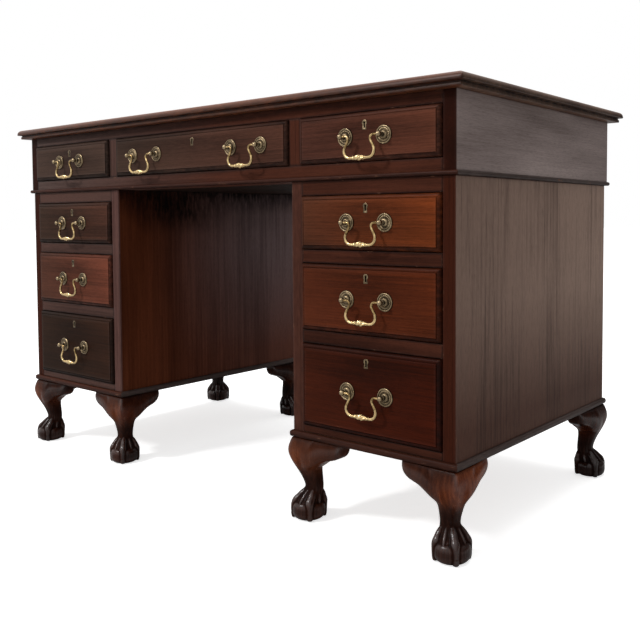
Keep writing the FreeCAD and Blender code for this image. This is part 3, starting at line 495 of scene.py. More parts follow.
# Height, front corner, side and corner rounding of the post, as shares of the sizes above
POST_SHARES = np.array([
    (1.000, 0.30, 0.97, 0.06), (0.915, 0.78, 0.97, 0.09), (0.825, 1.00, 0.92, 0.14),
    (0.715, 0.45, 0.83, 0.19), (0.610, -0.36, 0.70, 0.24), (0.510, -1.12, 0.59, 0.30),
    (0.405, -1.64, 0.53, 0.36), (0.360, -1.55, 0.55, 0.38), (0.310, -1.10, 0.63, 0.39),
    (0.260, -0.50, 0.75, 0.38), (0.215, 0.00, 0.84, 0.36), (0.190, 0.02, 0.84, 0.36)])
POST_MARGIN_SHARE = 0.15
# Height of a talon's middle line, its reach from the foot's axis for the front, side and back talons, how far
# a side talon starts behind the axis, and its thickness, in millimetres
TALON_ROWS = np.array([
    (58, 0, 10, 20, 10, 5.4), (51, 4.5, 13.5, 21.5, 8, 6.4), (45, 10.5, 17.5, 23.5, 5.5, 8.2),
    (39, 16.5, 21.5, 25, 3, 7.8), (33, 22, 24.5, 26, 0, 9.6), (26, 25.6, 26, 26.6, 0, 8.2),
    (16, 26.6, 26.6, 27, 0, 7.2), (8.5, 26.4, 26.4, 26.8, 0, 7.2), (2.5, 25.6, 25.6, 26, 0, 6.4)])
TALON_WIDTH_SHARE = 0.88
# Height, reach and thickness of the tendons that run into the ball between the talons, in millimetres
TENDON_ROWS = np.array([(57, 10, 2.6), (50, 15, 3.2), (44, 18.6, 3.6), (37, 22.4, 3.6), (31, 24.8, 2.4)])
# How far back a tendon starts, and the heights over which it gets there
TENDON_BACK, TENDON_FROM, TENDON_SPAN = 9 * MM, 30 * MM, 26 * MM
# Length along the carcase, drop of the lower edge, and how far in the face lies at top, swell and lower edge,
# in millimetres
EAR_ROWS = np.array([
    (25, 64, -3.7, -11.5, 9), (45, 57, -3.6, -11, 9), (60, 45, -3, -9.5, 9), (72, 37.5, -2.4, -7.5, 8),
    (82, 34.5, -1.5, -5.5, 8), (92, 31.5, -0.5, -3.5, 8), (99, 28, 0.5, -2, 9), (104, 23, 2, -0.5, 10),
    (107, 17, 4, 2, 11), (109, 9, 7, 6, 12)])
EAR_THICKNESS = 34 * MM
SKIN_FINENESS, SKIN_FAIRING, SKIN_PASSES = 1.1 * MM, 0.5, 2
LEG_GRAIN = ((2, 0, 1), 0)


def drawn_fair(rows, count):
    """A table's rows resampled evenly and faired: straight runs between rows, then each value averaged with
    its neighbours, over and over, with the two ends held."""
    place = np.linspace(0, len(rows) - 1, count)
    fair = np.stack([np.interp(place, np.arange(len(rows)), column) for column in rows.T], axis=-1)
    for _ in range(count // len(rows) * 2):
        fair[1:-1] = (fair[:-2] + 2 * fair[1:-1] + fair[2:]) / 4
    return fair


def capped(points):
    """The same grid with a point added in the middle of its first and last rows, so that its ends close."""
    first = np.broadcast_to(points[0].mean(axis=0), points[:1].shape)
    last = np.broadcast_to(points[-1].mean(axis=0), points[:1].shape)
    return np.concatenate([first, points, last])


def held(values):
    """A column of values with its first and last repeated, to go with a capped grid."""
    return np.concatenate([values[:1], values, values[-1:]])


def round_turn(count):
    """Even angles once round."""
    return np.linspace(0, 2 * np.pi, count + 1)[:-1]


def leg_post():
    """Round-cornered squares, each at its own height, corner forward along the diagonal: side, rounding and
    place on the diagonal follow the faired table."""
    rows = []
    for height, front, side, rounding in drawn_fair(POST_SHARES, 60):
        side = side * KNEE_WIDTH
        square = ring((side / 2, side / 2), rounding * side, 0.0, side * POST_MARGIN_SHARE)
        corner = side / 2 * np.sqrt(2) - rounding * side * (np.sqrt(2) - 1)
        diagonal = np.stack([square.sum(axis=1), square[:, 1] - square[:, 0]], axis=-1) / np.sqrt(2)
        diagonal[:, 0] += front * KNEE_PROJECTION - corner
        rows.append(np.column_stack([diagonal, np.full(len(diagonal), height * LEG_HEIGHT)]))
    return patch(capped(np.stack(rows)), LEG_GRAIN)


def leg_ball():
    """A squat ball, flat where it stands on the floor: at each height its radius follows a superellipse."""
    latitude, longitude = np.meshgrid(np.linspace(-np.pi / 2, np.pi / 2, 25), round_turn(36), indexing="ij")
    wide = BALL_RADIUS * np.cos(latitude) ** (2 / BALL_FULLNESS)
    high = BALL_HALF_HEIGHT * np.sign(latitude) * np.abs(np.sin(latitude)) ** (2 / BALL_FULLNESS)
    level = np.maximum(high + BALL_RISE, 0)
    return patch(np.stack([wide * np.cos(longitude), wide * np.sin(longitude), level], axis=-1), LEG_GRAIN)


def tapered_tube(line, radius):
    """Circles square to a line in the upright plane of its own direction, each with its own radius and a
    little narrower than deep, never lower than the floor."""
    run = np.gradient(line, axis=0)
    run /= np.linalg.norm(run, axis=-1, keepdims=True)
    level = np.stack([-run[:, 1], run[:, 0], 0 * radius], axis=-1)
    level /= np.linalg.norm(level, axis=-1, keepdims=True)
    outward = np.cross(level, run)
    angle = round_turn(16)[:, None]
    circle = np.cos(angle) * outward[:, None] + TALON_WIDTH_SHARE * np.sin(angle) * level[:, None]
    points = line[:, None] + radius[:, None, None] * circle
    points[..., 2] = np.maximum(points[..., 2], 0)
    return patch(capped(points), LEG_GRAIN)


def toe_tube(reach, turn, back, height, radius):
    """A tube whose middle line reaches out from the foot's axis at this turn, and starts behind it."""
    line = np.stack([reach * np.cos(turn) - back, reach * np.sin(turn), height], axis=-1)
    return tapered_tube(line, radius)


def leg_talon(quarter):
    """A toe with two knuckles: its middle line goes from the ankle over the ball, by the faired table for its
    side, turned by quarters about the foot's axis."""
    height, front, aside, behind, shift, radius = drawn_fair(TALON_ROWS, 48).T * MM
    reach = (front, aside, behind, aside)[quarter]
    turn = quarter * np.pi / 2
    return toe_tube(reach, turn, shift * abs(np.sin(turn)), height, radius)


def leg_tendon(quarter):
    """A thin ridge from the ankle to the ball, half way between two talons."""
    height, reach, radius = drawn_fair(TENDON_ROWS, 24).T * MM
    turn = quarter * np.pi / 2 + np.pi / 4
    back = TENDON_BACK * rise(height, TENDON_FROM, TENDON_SPAN)
    return toe_tube(reach, turn, back, height, radius)


def knee_ear(mirrored):
    """A bracket that carries the knee's swell along the carcase: at each place the face goes by half a cosine
    from its top to the swell and by a quarter of an ellipse under it to the lower edge, and a flat back
    closes it; the other side's is its mirror in the knee's diagonal."""
    along, drop, top, swell, under = drawn_fair(EAR_ROWS, 60).T[:, :, None] * MM
    share = np.linspace(0, 1, 17)
    upper = swell + (top - swell) * (1 + np.cos(2 * np.pi * np.minimum(share, 0.5))) / 2
    bow = upper + (under - swell) * (1 - np.sqrt(1 - np.maximum(2 * share - 1, 0) ** 2))
    inset = np.concatenate([bow, np.full((len(bow), 2), EAR_THICKNESS)], axis=1)
    height = LEG_HEIGHT - drop * np.concatenate([share, [1, 0]])
    points = capped(np.stack([np.broadcast_to(-along, height.shape), inset, height], axis=-1))
    if mirrored:
        points = -points[:, ::-1][..., [1, 0, 2]] * np.array([1, 1, -1])
    return patch(points, LEG_GRAIN)


def carved_leg():
    """All of one leg, its corner at the origin and its knee to the front right, with the post and foot turned
    an eighth of a turn and the whole skinned over finely so that carved parts run into each other."""
    eighth = np.sqrt(0.5)
    spin = np.array([[eighth, -eighth, 0], [eighth, eighth, 0], [0, 0, 1]])
    foot = [leg_ball()] + [toe(quarter) for toe in (leg_talon, leg_tendon) for quarter in range(4)]
    for part in foot:
        part["place"] = part["place"] - np.array([FOOT_SETBACK, 0, 0])
    diagonal = [leg_post()] + foot
    for part in diagonal:
        part["place"] = part["place"] @ spin
    block = bpy.data.meshes.new("leg_block")
    block.from_pydata(*joined(diagonal + [knee_ear(False), knee_ear(True)]))
    weld(block)
    stock = placed("leg_stock", block)
    skin = stock.modifiers.new("skin", "REMESH")
    skin.mode, skin.voxel_size = "VOXEL", SKIN_FINENESS
    fair = stock.modifiers.new("fair", "SMOOTH")
    fair.factor, fair.iterations = SKIN_FAIRING, SKIN_PASSES
    carved = bpy.data.meshes.new_from_object(stock.evaluated_get(bpy.context.evaluated_depsgraph_get()))
    bpy.data.objects.remove(stock)
    return carved


def read_mesh(mesh):
    """A mesh's points, face corners, edges and normals as arrays."""
    places, normals = np.empty((2, len(mesh.vertices) * 3))
    mesh.vertices.foreach_get("co", places)
    mesh.vertices.foreach_get("normal", normals)
    pairs = np.empty(len(mesh.edges) * 2, dtype=int)
    mesh.edges.foreach_get("vertices", pairs)
    quads = np.empty(len(mesh.loops), dtype=int)
    mesh.loops.foreach_get("vertex_index", quads)
    return places.reshape(-1, 3), quads.reshape(-1, 4), pairs.reshape(-1, 2), normals.reshape(-1, 3)


def neighbour_mean(values, pairs):
    """Each point's value averaged with its neighbours along the edges."""
    total = values.copy()
    count = np.ones(len(values))
    for here, there in ((0, 1), (1, 0)):
        np.add.at(total, pairs[:, here], values[pairs[:, there]])
        np.add.at(count, pairs[:, here], 1)
    return total / (count if values.ndim == 1 else count[:, None])


def scraped(places, pairs, amount, passes):
    """Each point moved by its own amount towards the mean of its neighbours, over and over."""
    for _ in range(passes):
        places = places + amount * (neighbour_mean(places, pairs) - places)
    return places


def hill(values, middle, width):
    """One at the middle, falling away on both sides as a bell of this width."""
    return np.exp(-((values - middle) / width) ** 2)


# Height above the ankle from which the surface is scraped fair, and the distance along the carcase where that
# gives way to the bracket's own shape
SCRAPE_FROM, SCRAPE_SPAN, SCRAPE_PASSES = 62 * MM, 20 * MM, 20
SPARE_FROM, SPARE_SPAN, LEAST_SCRAPING = 95 * MM, -35 * MM, 0.25
# The seam between knee and bracket is scraped further, clear of the arris, the bracket's tip and the top edge
SEAM_ALONG, SEAM_WIDTH, SEAM_FROM, SEAM_SPAN = 30 * MM, 14 * MM, 78 * MM, 14 * MM
SEAM_BELOW, SEAM_FALL, SEAM_PASSES = LEG_HEIGHT - 2 * MM, -16 * MM, 70
# Height over its smoothed surface at which a ridge counts as fully rubbed, and how often that is smoothed
FULL_RIDGE, RIDGE_PASSES = 0.3 * MM, 9
leg_places, leg_quads, leg_pairs, leg_normals = read_mesh(carved_leg())
along_carcase = np.maximum(-leg_places[:, :1], leg_places[:, 1:2])
fairing = rise(leg_places[:, 2:], SCRAPE_FROM, SCRAPE_SPAN)
fairing = fairing * rise(along_carcase, SPARE_FROM, SPARE_SPAN, LEAST_SCRAPING)
leg_places = scraped(leg_places, leg_pairs, fairing, SCRAPE_PASSES)
seam = hill(along_carcase, SEAM_ALONG, SEAM_WIDTH) * rise(leg_places[:, 2:], SEAM_FROM, SEAM_SPAN)
seam = seam * rise(leg_places[:, 2:], SEAM_BELOW, SEAM_FALL)
leg_places = scraped(leg_places, leg_pairs, seam, SEAM_PASSES)
smoother = scraped(leg_places, leg_pairs, 1, RIDGE_PASSES)
ridge = np.einsum("ij,ij->i", leg_places - smoother, leg_normals)
ridge = neighbour_mean(ridge, leg_pairs) / FULL_RIDGE
leg_places[:, 2] = np.clip(leg_places[:, 2], 0, LEG_HEIGHT)

# Shoes and knees have rubbed a lighter patch on the knee's arris, a hand's breadth above the floor
RUB_MOST, RUB_HEIGHT, RUB_TALL, RUB_WIDE = 0.85, 118 * MM, 24 * MM, 34 * MM
# Painted shade darkens the foot and the dull ankle, and painted shadow lies in the joint under the carcase;
# the foot's ridges are kept clear of the shade
FOOT_SHADE_HEIGHTS, FOOT_SHADE = (60 * MM, 100 * MM), 0.35
ANKLE_HEIGHT, ANKLE_TALL, ANKLE_SHADE, ANKLE_DULLNESS = 74 * MM, 20 * MM, 0.3, 0.85
JOINT_FROM, JOINT_SPAN, JOINT_SHADOW = 148 * MM, 4 * MM, 0.75
RIDGE_CLEARED, MOST_LEG_SHADE = 0.7, 0.8
# The right pedestal's front right leg takes a painted sheen on its outward face, and the back legs, all but
# the right pedestal's back right one, are darkened by a painted shadow
SIDE_SHEEN_FROM, SIDE_SHEEN_SPAN, SIDE_SHEEN = 80 * MM, 25 * MM, 1.2
BACK_LEG_SHADOW, MOST_BACK_SHADOW = 0.5, 0.9
LEG_FIGURE_STEP = np.array([1.1, 0.37, 0.21])
leg_level = leg_places[:, 2]
off_arris = np.abs(leg_places[:, 0] + leg_places[:, 1]) / np.sqrt(2)
knee_rub = RUB_MOST * hill(leg_level, RUB_HEIGHT, RUB_TALL) * hill(off_arris, 0, RUB_WIDE)
ankle = hill(leg_level, ANKLE_HEIGHT, ANKLE_TALL)
joint = rise(leg_level, JOINT_FROM, JOINT_SPAN)
crown = np.clip(ridge, 0, 1) * (1 - ANKLE_DULLNESS * ankle) * (1 - joint)
crown = crown * np.clip(1 + leg_normals[:, 2], 0, 1)
# Painted shade on the foot and ankle, kept off the ridges, and painted shadow in the joint under the carcase
foot_shade = np.interp(leg_level, FOOT_SHADE_HEIGHTS, (FOOT_SHADE, 0)) - RIDGE_CLEARED * ridge * (1 - ankle)
leg_shade = np.clip(foot_shade + ANKLE_SHADE * ankle + JOINT_SHADOW * joint, 0, MOST_LEG_SHADE)
# Painted sheen on the outward face above the ankle
side_sheen = SIDE_SHEEN * np.clip(leg_normals[:, 0], 0, 1) * rise(leg_level, SIDE_SHEEN_FROM, SIDE_SHEEN_SPAN)
LEG_REDS = shades((20, 9, 6), (38, 18, 12), (66, 35, 24))
# Lighter reds for the rubbed knee, and for the painted sheen on the right front leg's outward face
KNEE_REDS = shades((55, 23, 12), (88, 41, 23), (126, 67, 38))
leg_mahogany = timber("leg_mahogany", LEG_REDS, srgb(84, 58, 44), KNEE_REDS, figure=0.28, roughness=0.24,
                      polish=0.5)
CORNERS = (("front_right", 1, 0), ("back_right", 1, 1), ("back_left", 0, 1), ("front_left", 0, 0))
for number, side in enumerate(("left", "right")):
    limits = np.array(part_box(side + "_pedestal_sides"))
    for quarter, (title, across, deep) in enumerate(CORNERS):
        cosine, sine = np.round(compass(quarter * np.pi / 2))
        stood = leg_places @ np.array([[cosine, sine, 0], [-sine, cosine, 0], [0, 0, 1]])
        # Painted sheen on the right pedestal's front right leg, and painted shadow on the back legs but its
        # back right one
        takes_side_sheen = number * across * (1 - deep)
        in_deep_shadow = deep * (1 - number * across)
        leg = {"place": stood + np.array([limits[across, 0], limits[deep, 1], 0]), "quads": leg_quads,
               "grain": leg_places[:, [2, 0, 1]] + (number * 4 + quarter) * LEG_FIGURE_STEP, "wear": crown,
               "grime_and_shade": np.clip(leg_shade + BACK_LEG_SHADOW * in_deep_shadow, 0, MOST_BACK_SHADOW),
               "painted_light_and_rub": np.clip(np.maximum(knee_rub, takes_side_sheen * side_sheen), 0, 1)}
        piece(f"{side}_pedestal_{title}_leg", [leg], leg_mahogany, CARCASE, "mahogany",
              side + "_pedestal_legs", crisp=60)

# Frieze: the shallow carcase that lies across both pedestals and holds three drawers side by side.
# Its ends and back are single boards, painted a grey that stands for a sheen, and its front rails and two
# muntins are tenoned together.
FRIEZE_END = 26 * MM
FRIEZE_RAILS = ((626, 655), (740, 761))
MUNTIN_EDGES = (263, 291)
END_EDGE = 2 * MM
# Places from left to right between which the front's painted sheen gives out, and the most of it
FRIEZE_SHEEN_FROM, FRIEZE_SHEEN_TO, FRIEZE_SHEEN = -0.6, 0.1, 0.75
# Painted shadow of the top on the top rail, at the rail's lower and its upper edge
TOP_RAIL_SHADOW = (0.05, 0.7)
# Greys of the painted sheen on the frieze's ends and back
END_GREYS = shades((106, 93, 89), (137, 123, 119), (158, 143, 138))
end_mahogany = timber("end_mahogany", STILE_REDS, WORN_WOOD, END_GREYS, figure=0.12)
low, high = np.array(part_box("frieze_ends"))
ends = [eased_board((near, low[1], low[2]), (near + FRIEZE_END, high[1], high[2]), SIDE_EASE, board=51 + hand,
                    along=1, painted_light=(2 * hand - 1, 0, 0))
        for hand, near in enumerate((low[0], high[0] - FRIEZE_END))]
# The ends' back edges take the full painted sheen
for board in ends:
    board["painted_light_and_rub"] = np.where(board["place"][:, 1] > high[1] - END_EDGE, 1, board["painted_light_and_rub"])
piece("frieze_end_boards", ends, end_mahogany, CARCASE, "mahogany", "frieze_ends")
back = eased_board(*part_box("frieze_back"), BACK_EASE, board=53, along=0, painted_light=(0, 1, 0))
piece("frieze_back_panel", [back], end_mahogany, CARCASE, "mahogany", "frieze_back")
low, high = np.array(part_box("frieze_front_frame"))
frame_boards = [eased_board((low[0], low[1], under * MM), (high[0], high[1], over * MM), RAIL_EASE,
                            board=54 + row, grime_and_shade=RAIL_GRIME)
                for row, (under, over) in enumerate(FRIEZE_RAILS)]
for number, (near, far) in enumerate((MUNTIN_EDGES, (-MUNTIN_EDGES[1], -MUNTIN_EDGES[0]))):
    frame_boards.append(eased_board((near * MM, low[1], FRIEZE_RAILS[0][1] * MM),
                                    (far * MM, high[1], FRIEZE_RAILS[1][0] * MM), RAIL_EASE,
                                    board=56 + number, along=2, grime_and_shade=RAIL_GRIME))
# The front frame takes a painted grey sheen towards its left end
for board in frame_boards:
    board["painted_light_and_rub"] = np.interp(board["place"][:, 0], (FRIEZE_SHEEN_FROM, FRIEZE_SHEEN_TO), (FRIEZE_SHEEN, 0))
# Painted shadow of the top on the top rail
shadow_under_top = np.interp(frame_boards[1]["place"][:, 2], np.array(FRIEZE_RAILS[1]) * MM, TOP_RAIL_SHADOW)
frame_boards[1]["grime_and_shade"] = np.maximum(frame_boards[1]["grime_and_shade"], shadow_under_top)
piece("frieze_rails_and_muntins", frame_boards, frame_mahogany, CARCASE, "mahogany", "frieze_front_frame")

# Bead: a half-round mahogany strip mitred round the lower edge of the frieze, which hides its joint with the
# pedestals. It stands proud, so its crown is rubbed.
BEAD_PROJECTION = 4.5 * MM
bullnose("frieze_bead", BEAD_PROJECTION, 58, frame_mahogany)

# Top: mahogany boards with a moulded edge, an ovolo over a quirk and a stepped-back band, fixed down on the
# frieze. The writing surface is sunk by the leather's thickness.
TOP_CORNER = 3 * MM
# Width of the edge at the ends and back that takes a painted sheen
SHEENED_EDGE = 20 * MM
TOP_REDS = shades((48, 24, 15), (78, 42, 27), (112, 63, 38))
# Browns of the painted sheen on the top's ends and back
TOP_BROWNS = shades((64, 43, 33), (92, 65, 51), (122, 92, 74))
top_mahogany = timber("top_mahogany", TOP_REDS, srgb(150, 118, 94), TOP_BROWNS, figure=0.45, gloss=0.1,
                      roughness=0.36, polish=0.15)
# Inset from the outline and height above the underside in millimetres, wear, and darkening along the moulded
# edge, which is painted shade on the underside, band, quirk and lower half of the ovolo
OVOLO_RADIUS = 11
OVOLO_TURN = np.linspace(0, np.pi / 2, 9)
OVOLO = np.column_stack([OVOLO_RADIUS * (1 - np.cos(OVOLO_TURN)), OVOLO_RADIUS * (1 + np.sin(OVOLO_TURN)),
                         0.55 * np.sin(OVOLO_TURN * 2), 0.8 * (1 - np.sin(OVOLO_TURN))])
TOP_PROFILE = np.concatenate([
    [(44, 0, 0, 0.6), (9, 0, 0, 0.4), (7.6, 0.3, 0, 0.6), (7, 1, 0, 0.75), (7, 4.9, 0.3, 0.75),
     (7.4, 5.6, 0.2, 0.8), (8.6, 6, 0, 0.9), (8.6, 8, 0, 1), (7, 8.7, 0, 0.9), (2, 9, 0, 0.8),
     (0.5, 9.4, 0.3, 0.8), (0, 10.2, 0.4, 0.8)],
    OVOLO, [(15, 22, 0.1, 0), (34, 22, 0, 0), (78.6, 22, 0, 0), (79, 21.6, 0.2, 0.5), (79, 20.5, 0, 0.9)]])


def moulded_slab(node, profile, corner, grain):
    """A profile of inset and height carried round a rectangle with small round corners, and closed to a point
    in the middle of its first and last rings."""
    low, high = np.array(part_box(node))
    half, middle = (high - low)[:2] / 2, (low + high)[:2] / 2
    rings = np.stack([ring(half, corner, inset * MM) for inset in profile[:, 0]])
    points = upright(rings + middle, low[2] + profile[:, 1] * MM)
    slab = patch(capped(points), grain, *(held(values)[:, None] for values in profile.T[2:]))
    place = slab["place"][:, :2] - middle
    # The ends and back, within the edge's width, take the painted sheen
    lit = nearer_end(place, half) | (place[:, 1] > 0)
    slab["painted_light_and_rub"] = np.where(lit & (np.min(half - np.abs(place), axis=-1) < SHEENED_EDGE), 1.0, 0.0)
    return slab


piece("moulded_top", [moulded_slab("desk_top", TOP_PROFILE, TOP_CORNER, ((0, 1, 2), 61))], top_mahogany,
      CARCASE, "mahogany", "desk_top", crisp=32)

# Writing leather: one hide glued into the sunk panel, with two lines pressed round its border by a hot wheel.
# The lines still hold a little gilding.
LEATHER_CORNER = 1 * MM
# Inset, height, gilding and grime from the hide's edge inwards, in millimetres
LEATHER_PROFILE = np.array([
    (4, 0, 0, 0), (0.4, 0, 0, 0), (0.3, 1.0, 0, 0.6), (0.9, 1.4, 0, 0.2), (2, 1.5, 0, 0), (12, 1.5, 0, 0),
    (12.3, 1.25, 1, 0), (13.7, 1.25, 1, 0), (14, 1.5, 0, 0), (18, 1.5, 0, 0), (18.2, 1.3, 1, 0),
    (19, 1.3, 1, 0), (19.2, 1.5, 0, 0), (40, 1.5, 0, 0)])


def tooled_hide(name, deep, pale, gilt):
    """Pebbled leather: small cells for the grain, slow shifts of tone where hands have rubbed, and broken
    gilt in the pressed lines."""
    material, tree = new_finish(name)
    where = tree.nodes.new("ShaderNodeTexCoord").outputs["Object"]
    pebble = wire(tree, "ShaderNodeTexVoronoi", Vector=where, Scale=620.0)
    rubbed = streaks(tree, where, (5, 5, 5), 4.0)
    colour = ramp(tree, rubbed, (0.35, srgb(*deep)), (0.68, srgb(*pale)))
    colour = blend(tree, "MULTIPLY", 0.5, colour, ramp(tree, pebble, (0.0, 1.0), (0.75, 0.55)))
    broken = ramp(tree, streaks(tree, where, (60, 60, 60), 3.0), (0.38, 0.0), (0.5, 1.0))
    line = times(tree, mark(tree, "wear"), broken)
    colour = blend(tree, "MIX", line, colour, (*srgb(*gilt), 1))
    rough = maths(tree, "SUBTRACT", 0.62, times(tree, rubbed, 0.22))
    surface(tree, colour, rough, pebble, (0.35, 0.0004), Metallic=times(tree, line, 0.8))
    return material


brown_hide = tooled_hide("writing_hide", (44, 30, 22), (84, 52, 34), (176, 140, 80))
piece("leather_panel", [moulded_slab("writing_leather", LEATHER_PROFILE, LEATHER_CORNER, ((0, 1, 2), 0))],
      brown_hide, CARCASE, "leather", "writing_leather")

# Drawer fronts: nine solid mahogany boards, each with a lip worked round its face, a quarter round, a fine
# quirk and then the flat field. A keyhole is cut through behind the brass escutcheon.
DRAWERS = [f"frieze_{place}_drawer" for place in ("left", "centre", "right")]
DRAWERS += [f"{side}_{row}_drawer" for side in ("left", "right") for row in ("upper", "middle", "lower")]
FRONT_PROUD = 6.7 * MM
LIP_RADIUS = 5.5 * MM
KEYHOLE_DROP = 14 * MM
KEYHOLE_HEIGHT = 17 * MM
HEAD_RADIUS = 5.2 * MM
FOOT_HALF = 4.5 * MM
NECK_SHARE = 0.62
SLOT_WALL = 3.3 * MM
ESCUTCHEON_DEPTH = 6 * MM
FRONT_COLUMNS = 96
# Inset from the edge and height over the carcase from the lip's crown through the quirk to the field
QUIRK_INSETS = np.array([6.4, 6.6, 7.5, 7.7, 8.2, 13]) * MM
QUIRK_HEIGHTS = np.array([5.5, 5.0, 5.0, 6.2, 6.7, 6.7]) * MM
# Wear and darkening from the slot at the back, round the front and into the slot again
FRONT_WEAR = np.array([0, 0, 0, 0.2, 0.3, 0.4, 0.5, 0.5, 0.4, 0.3, 0, 0, 0.4, 0.8, 0, 0, 0, 0])
FRONT_DARKENING = np.array([0, 0.9, 0.9, 0.75, 0.6, 0.5, 0.4, 0.35, 0.3, 0.3, 0.5, 0.5, 0.2, 0, 0, 0.5, 1, 1])
# Painted shade on the rows of the lip that look right or down, and how near the edge a column counts as one
# of these
LIP_ROWS = np.pad(np.ones(9), (2, 7))[:, None]
LIP_SHADE, AT_EDGE = 0.8, 0.999


def keyhole(angle, wall):
    """Distance of a keyhole's edge from the middle of its head at each angle: a circle, and below it a foot
    whose sides spread to a level bottom. A wall thins all three."""
    head = HEAD_RADIUS - wall
    foot = FOOT_HALF - wall
    drop = KEYHOLE_HEIGHT - HEAD_RADIUS - wall
    down = np.maximum(-np.sin(angle), TINY)
    neck = head * NECK_SHARE
    flare = neck / np.maximum(np.abs(np.cos(angle)) - down * (foot - neck) / drop, TINY)
    return np.where(np.sin(angle) < 0, np.maximum(head, np.minimum(drop / down, flare)), head)


def front_columns(half, centre):
    """Where rays from the keyhole's head at even angles meet the front's outline, as shares of its half width
    and height, with each corner added as a column of its own."""
    corner = np.array([(1, -1), (1, 1), (-1, 1), (-1, -1)]) * half - centre
    edge = np.arctan2(corner[:, 1], corner[:, 0])
    even = np.linspace(-np.pi, np.pi, FRONT_COLUMNS + 1)[:-1]
    angle = np.sort(np.concatenate([even, edge]))
    angle = np.roll(angle, -np.searchsorted(angle, edge[0]))
    aim = compass(angle)
    limit = np.where(aim > 0, half - centre, half + centre) / np.maximum(np.abs(aim), TINY)
    meet = aim * np.min(limit, axis=-1, keepdims=True) + centre
    return angle, meet / half


def drawer_front(name, board):
    """One closed skin round the front: from the slot at the back out to the edge, forward, over the quarter
    round and quirk to the field, in to the keyhole, and through it to the back again."""
    low, high = np.array(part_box(name + "_front"))
    half = (high - low)[[0, 2]] / 2
    middle = (low + high) / 2
    centre = np.array([0.0, half[1] - KEYHOLE_DROP - HEAD_RADIUS])
    angle, share = front_columns(half, centre)
    turn = np.linspace(0, np.pi / 2, 7)
    inset = np.concatenate([[0], LIP_RADIUS * (1 - np.cos(turn)), QUIRK_INSETS])
    proud = np.concatenate([[low[1] - high[1] + FRONT_PROUD], LIP_RADIUS * np.sin(turn), QUIRK_HEIGHTS])
    outline = share[None] * (half - inset[:, None, None])
    wide = centre + compass(angle) * keyhole(angle, 0.0)[:, None]
    slot = centre + compass(angle) * keyhole(angle, SLOT_WALL)[:, None]
    bed = FRONT_PROUD - ESCUTCHEON_DEPTH
    flat = np.concatenate([slot[None], outline, wide[None], wide[None], slot[None]])
    depth = np.concatenate([proud[:1], proud, [FRONT_PROUD, bed, bed]])
    back = np.broadcast_to((low[1] + FRONT_PROUD - depth)[:, None], flat.shape[:2])
    points = np.stack([flat[..., 0] + middle[0], back, flat[..., 1] + middle[2]], axis=-1)
    # Lips that look right or down take painted shade
    shadowed = (share[:, 0] > AT_EDGE) | (share[:, 1] < -AT_EDGE)
    grime_and_shade = np.maximum(FRONT_DARKENING[:, None], LIP_SHADE * LIP_ROWS * shadowed)
    return patch(points, ((0, 2, 1), board), FRONT_WEAR[:, None], grime_and_shade, loop=True)


# Middle tone of each front at its left and its right end, and the dark, middle and pale shares of it. The
# tones differ from front to front and from end to end with the light that falls on each: painted light and
# shade, in lit and shaded copies of one mahogany
FRONT_TONES = (((56, 43, 37), (60, 45, 38)), ((56, 42, 35), (68, 43, 34)), ((73, 44, 35), (79, 45, 33)),
               ((56, 40, 32), (64, 40, 31)), ((74, 46, 36), (91, 50, 37)), ((42, 29, 22), (44, 27, 19)),
               ((69, 39, 26), (101, 48, 23)), ((71, 34, 20), (76, 34, 17)), ((57, 24, 13), (56, 20, 9)))
TONE_SHARES = (0.66, 1.0, 1.3)
# Share of the front's width over which one end's tone turns into the other's
TONE_SPAN = 0.8
for number, (name, ends) in enumerate(zip(DRAWERS, FRONT_TONES)):
    left, right = (shades(*(np.array(tone) * share for share in TONE_SHARES)) for tone in ends)
    finish = timber(name + "_mahogany", left, WORN_WOOD, right, figure=0.34, roughness=0.40)
    front = drawer_front(name, 71 + number * 3)
    across = front["place"][:, 0]
    off_middle = (across - (across.max() + across.min()) / 2) / np.ptp(across)
    # Each front turns from its left end's tone to its right end's: painted light
    front["painted_light_and_rub"] = np.clip(0.5 + off_middle / TONE_SPAN, 0, 1)
    piece(name + "_lipped_front", [front], finish, name, "mahogany_front", name + "_front", crisp=25)

# Drawer boxes: thin oak sides and back dovetailed to the front, with a bottom that slides in grooves.
# The oak is bare and has gone brown and dusty inside.
BOX_SIDE = 10 * MM
BOX_BOTTOM = 6 * MM
BOTTOM_RISE = 8 * MM
BOTTOM_EASE = 0.5 * MM
oak = timber("drawer_oak", shades((104, 76, 48), (134, 101, 66), (158, 125, 86)), srgb(172, 142, 102),
             roughness=0.62)
for number, name in enumerate(DRAWERS):
    low, high = np.array(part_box(name + "_box"))
    front_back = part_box(name + "_front")[1][1]
    floor_z = low[2] + BOTTOM_RISE
    first = 101 + number * 4
    boards = [eased_board((near, front_back, low[2]), (near + BOX_SIDE, high[1], high[2]), BACK_EASE,
                          first + hand)
              for hand, near in enumerate((low[0], high[0] - BOX_SIDE))]
    boards.append(eased_board((low[0] + BOX_SIDE, high[1] - BOX_SIDE, floor_z + BOX_BOTTOM),
                              (high[0] - BOX_SIDE, high[1], high[2]), BACK_EASE, first + 2))
    boards.append(eased_board((low[0] + BOX_SIDE / 2, front_back, floor_z),
                              (high[0] - BOX_SIDE / 2, high[1], floor_z + BOX_BOTTOM), BOTTOM_EASE, first + 3,
                              along=0))
    piece(name + "_oak_box", boards, oak, name, "drawer_oak", name + "_box")

# Handle posts and rosettes: cast and turned brass, tarnished dark in the hollows and bright where fingers
# rub. A bolt behind each post goes through the drawer front to a square nut inside.
HANDLE_SPAN = 82 * MM
POST_REACH = 15 * MM
CENTRE_SPREAD = 310 * MM


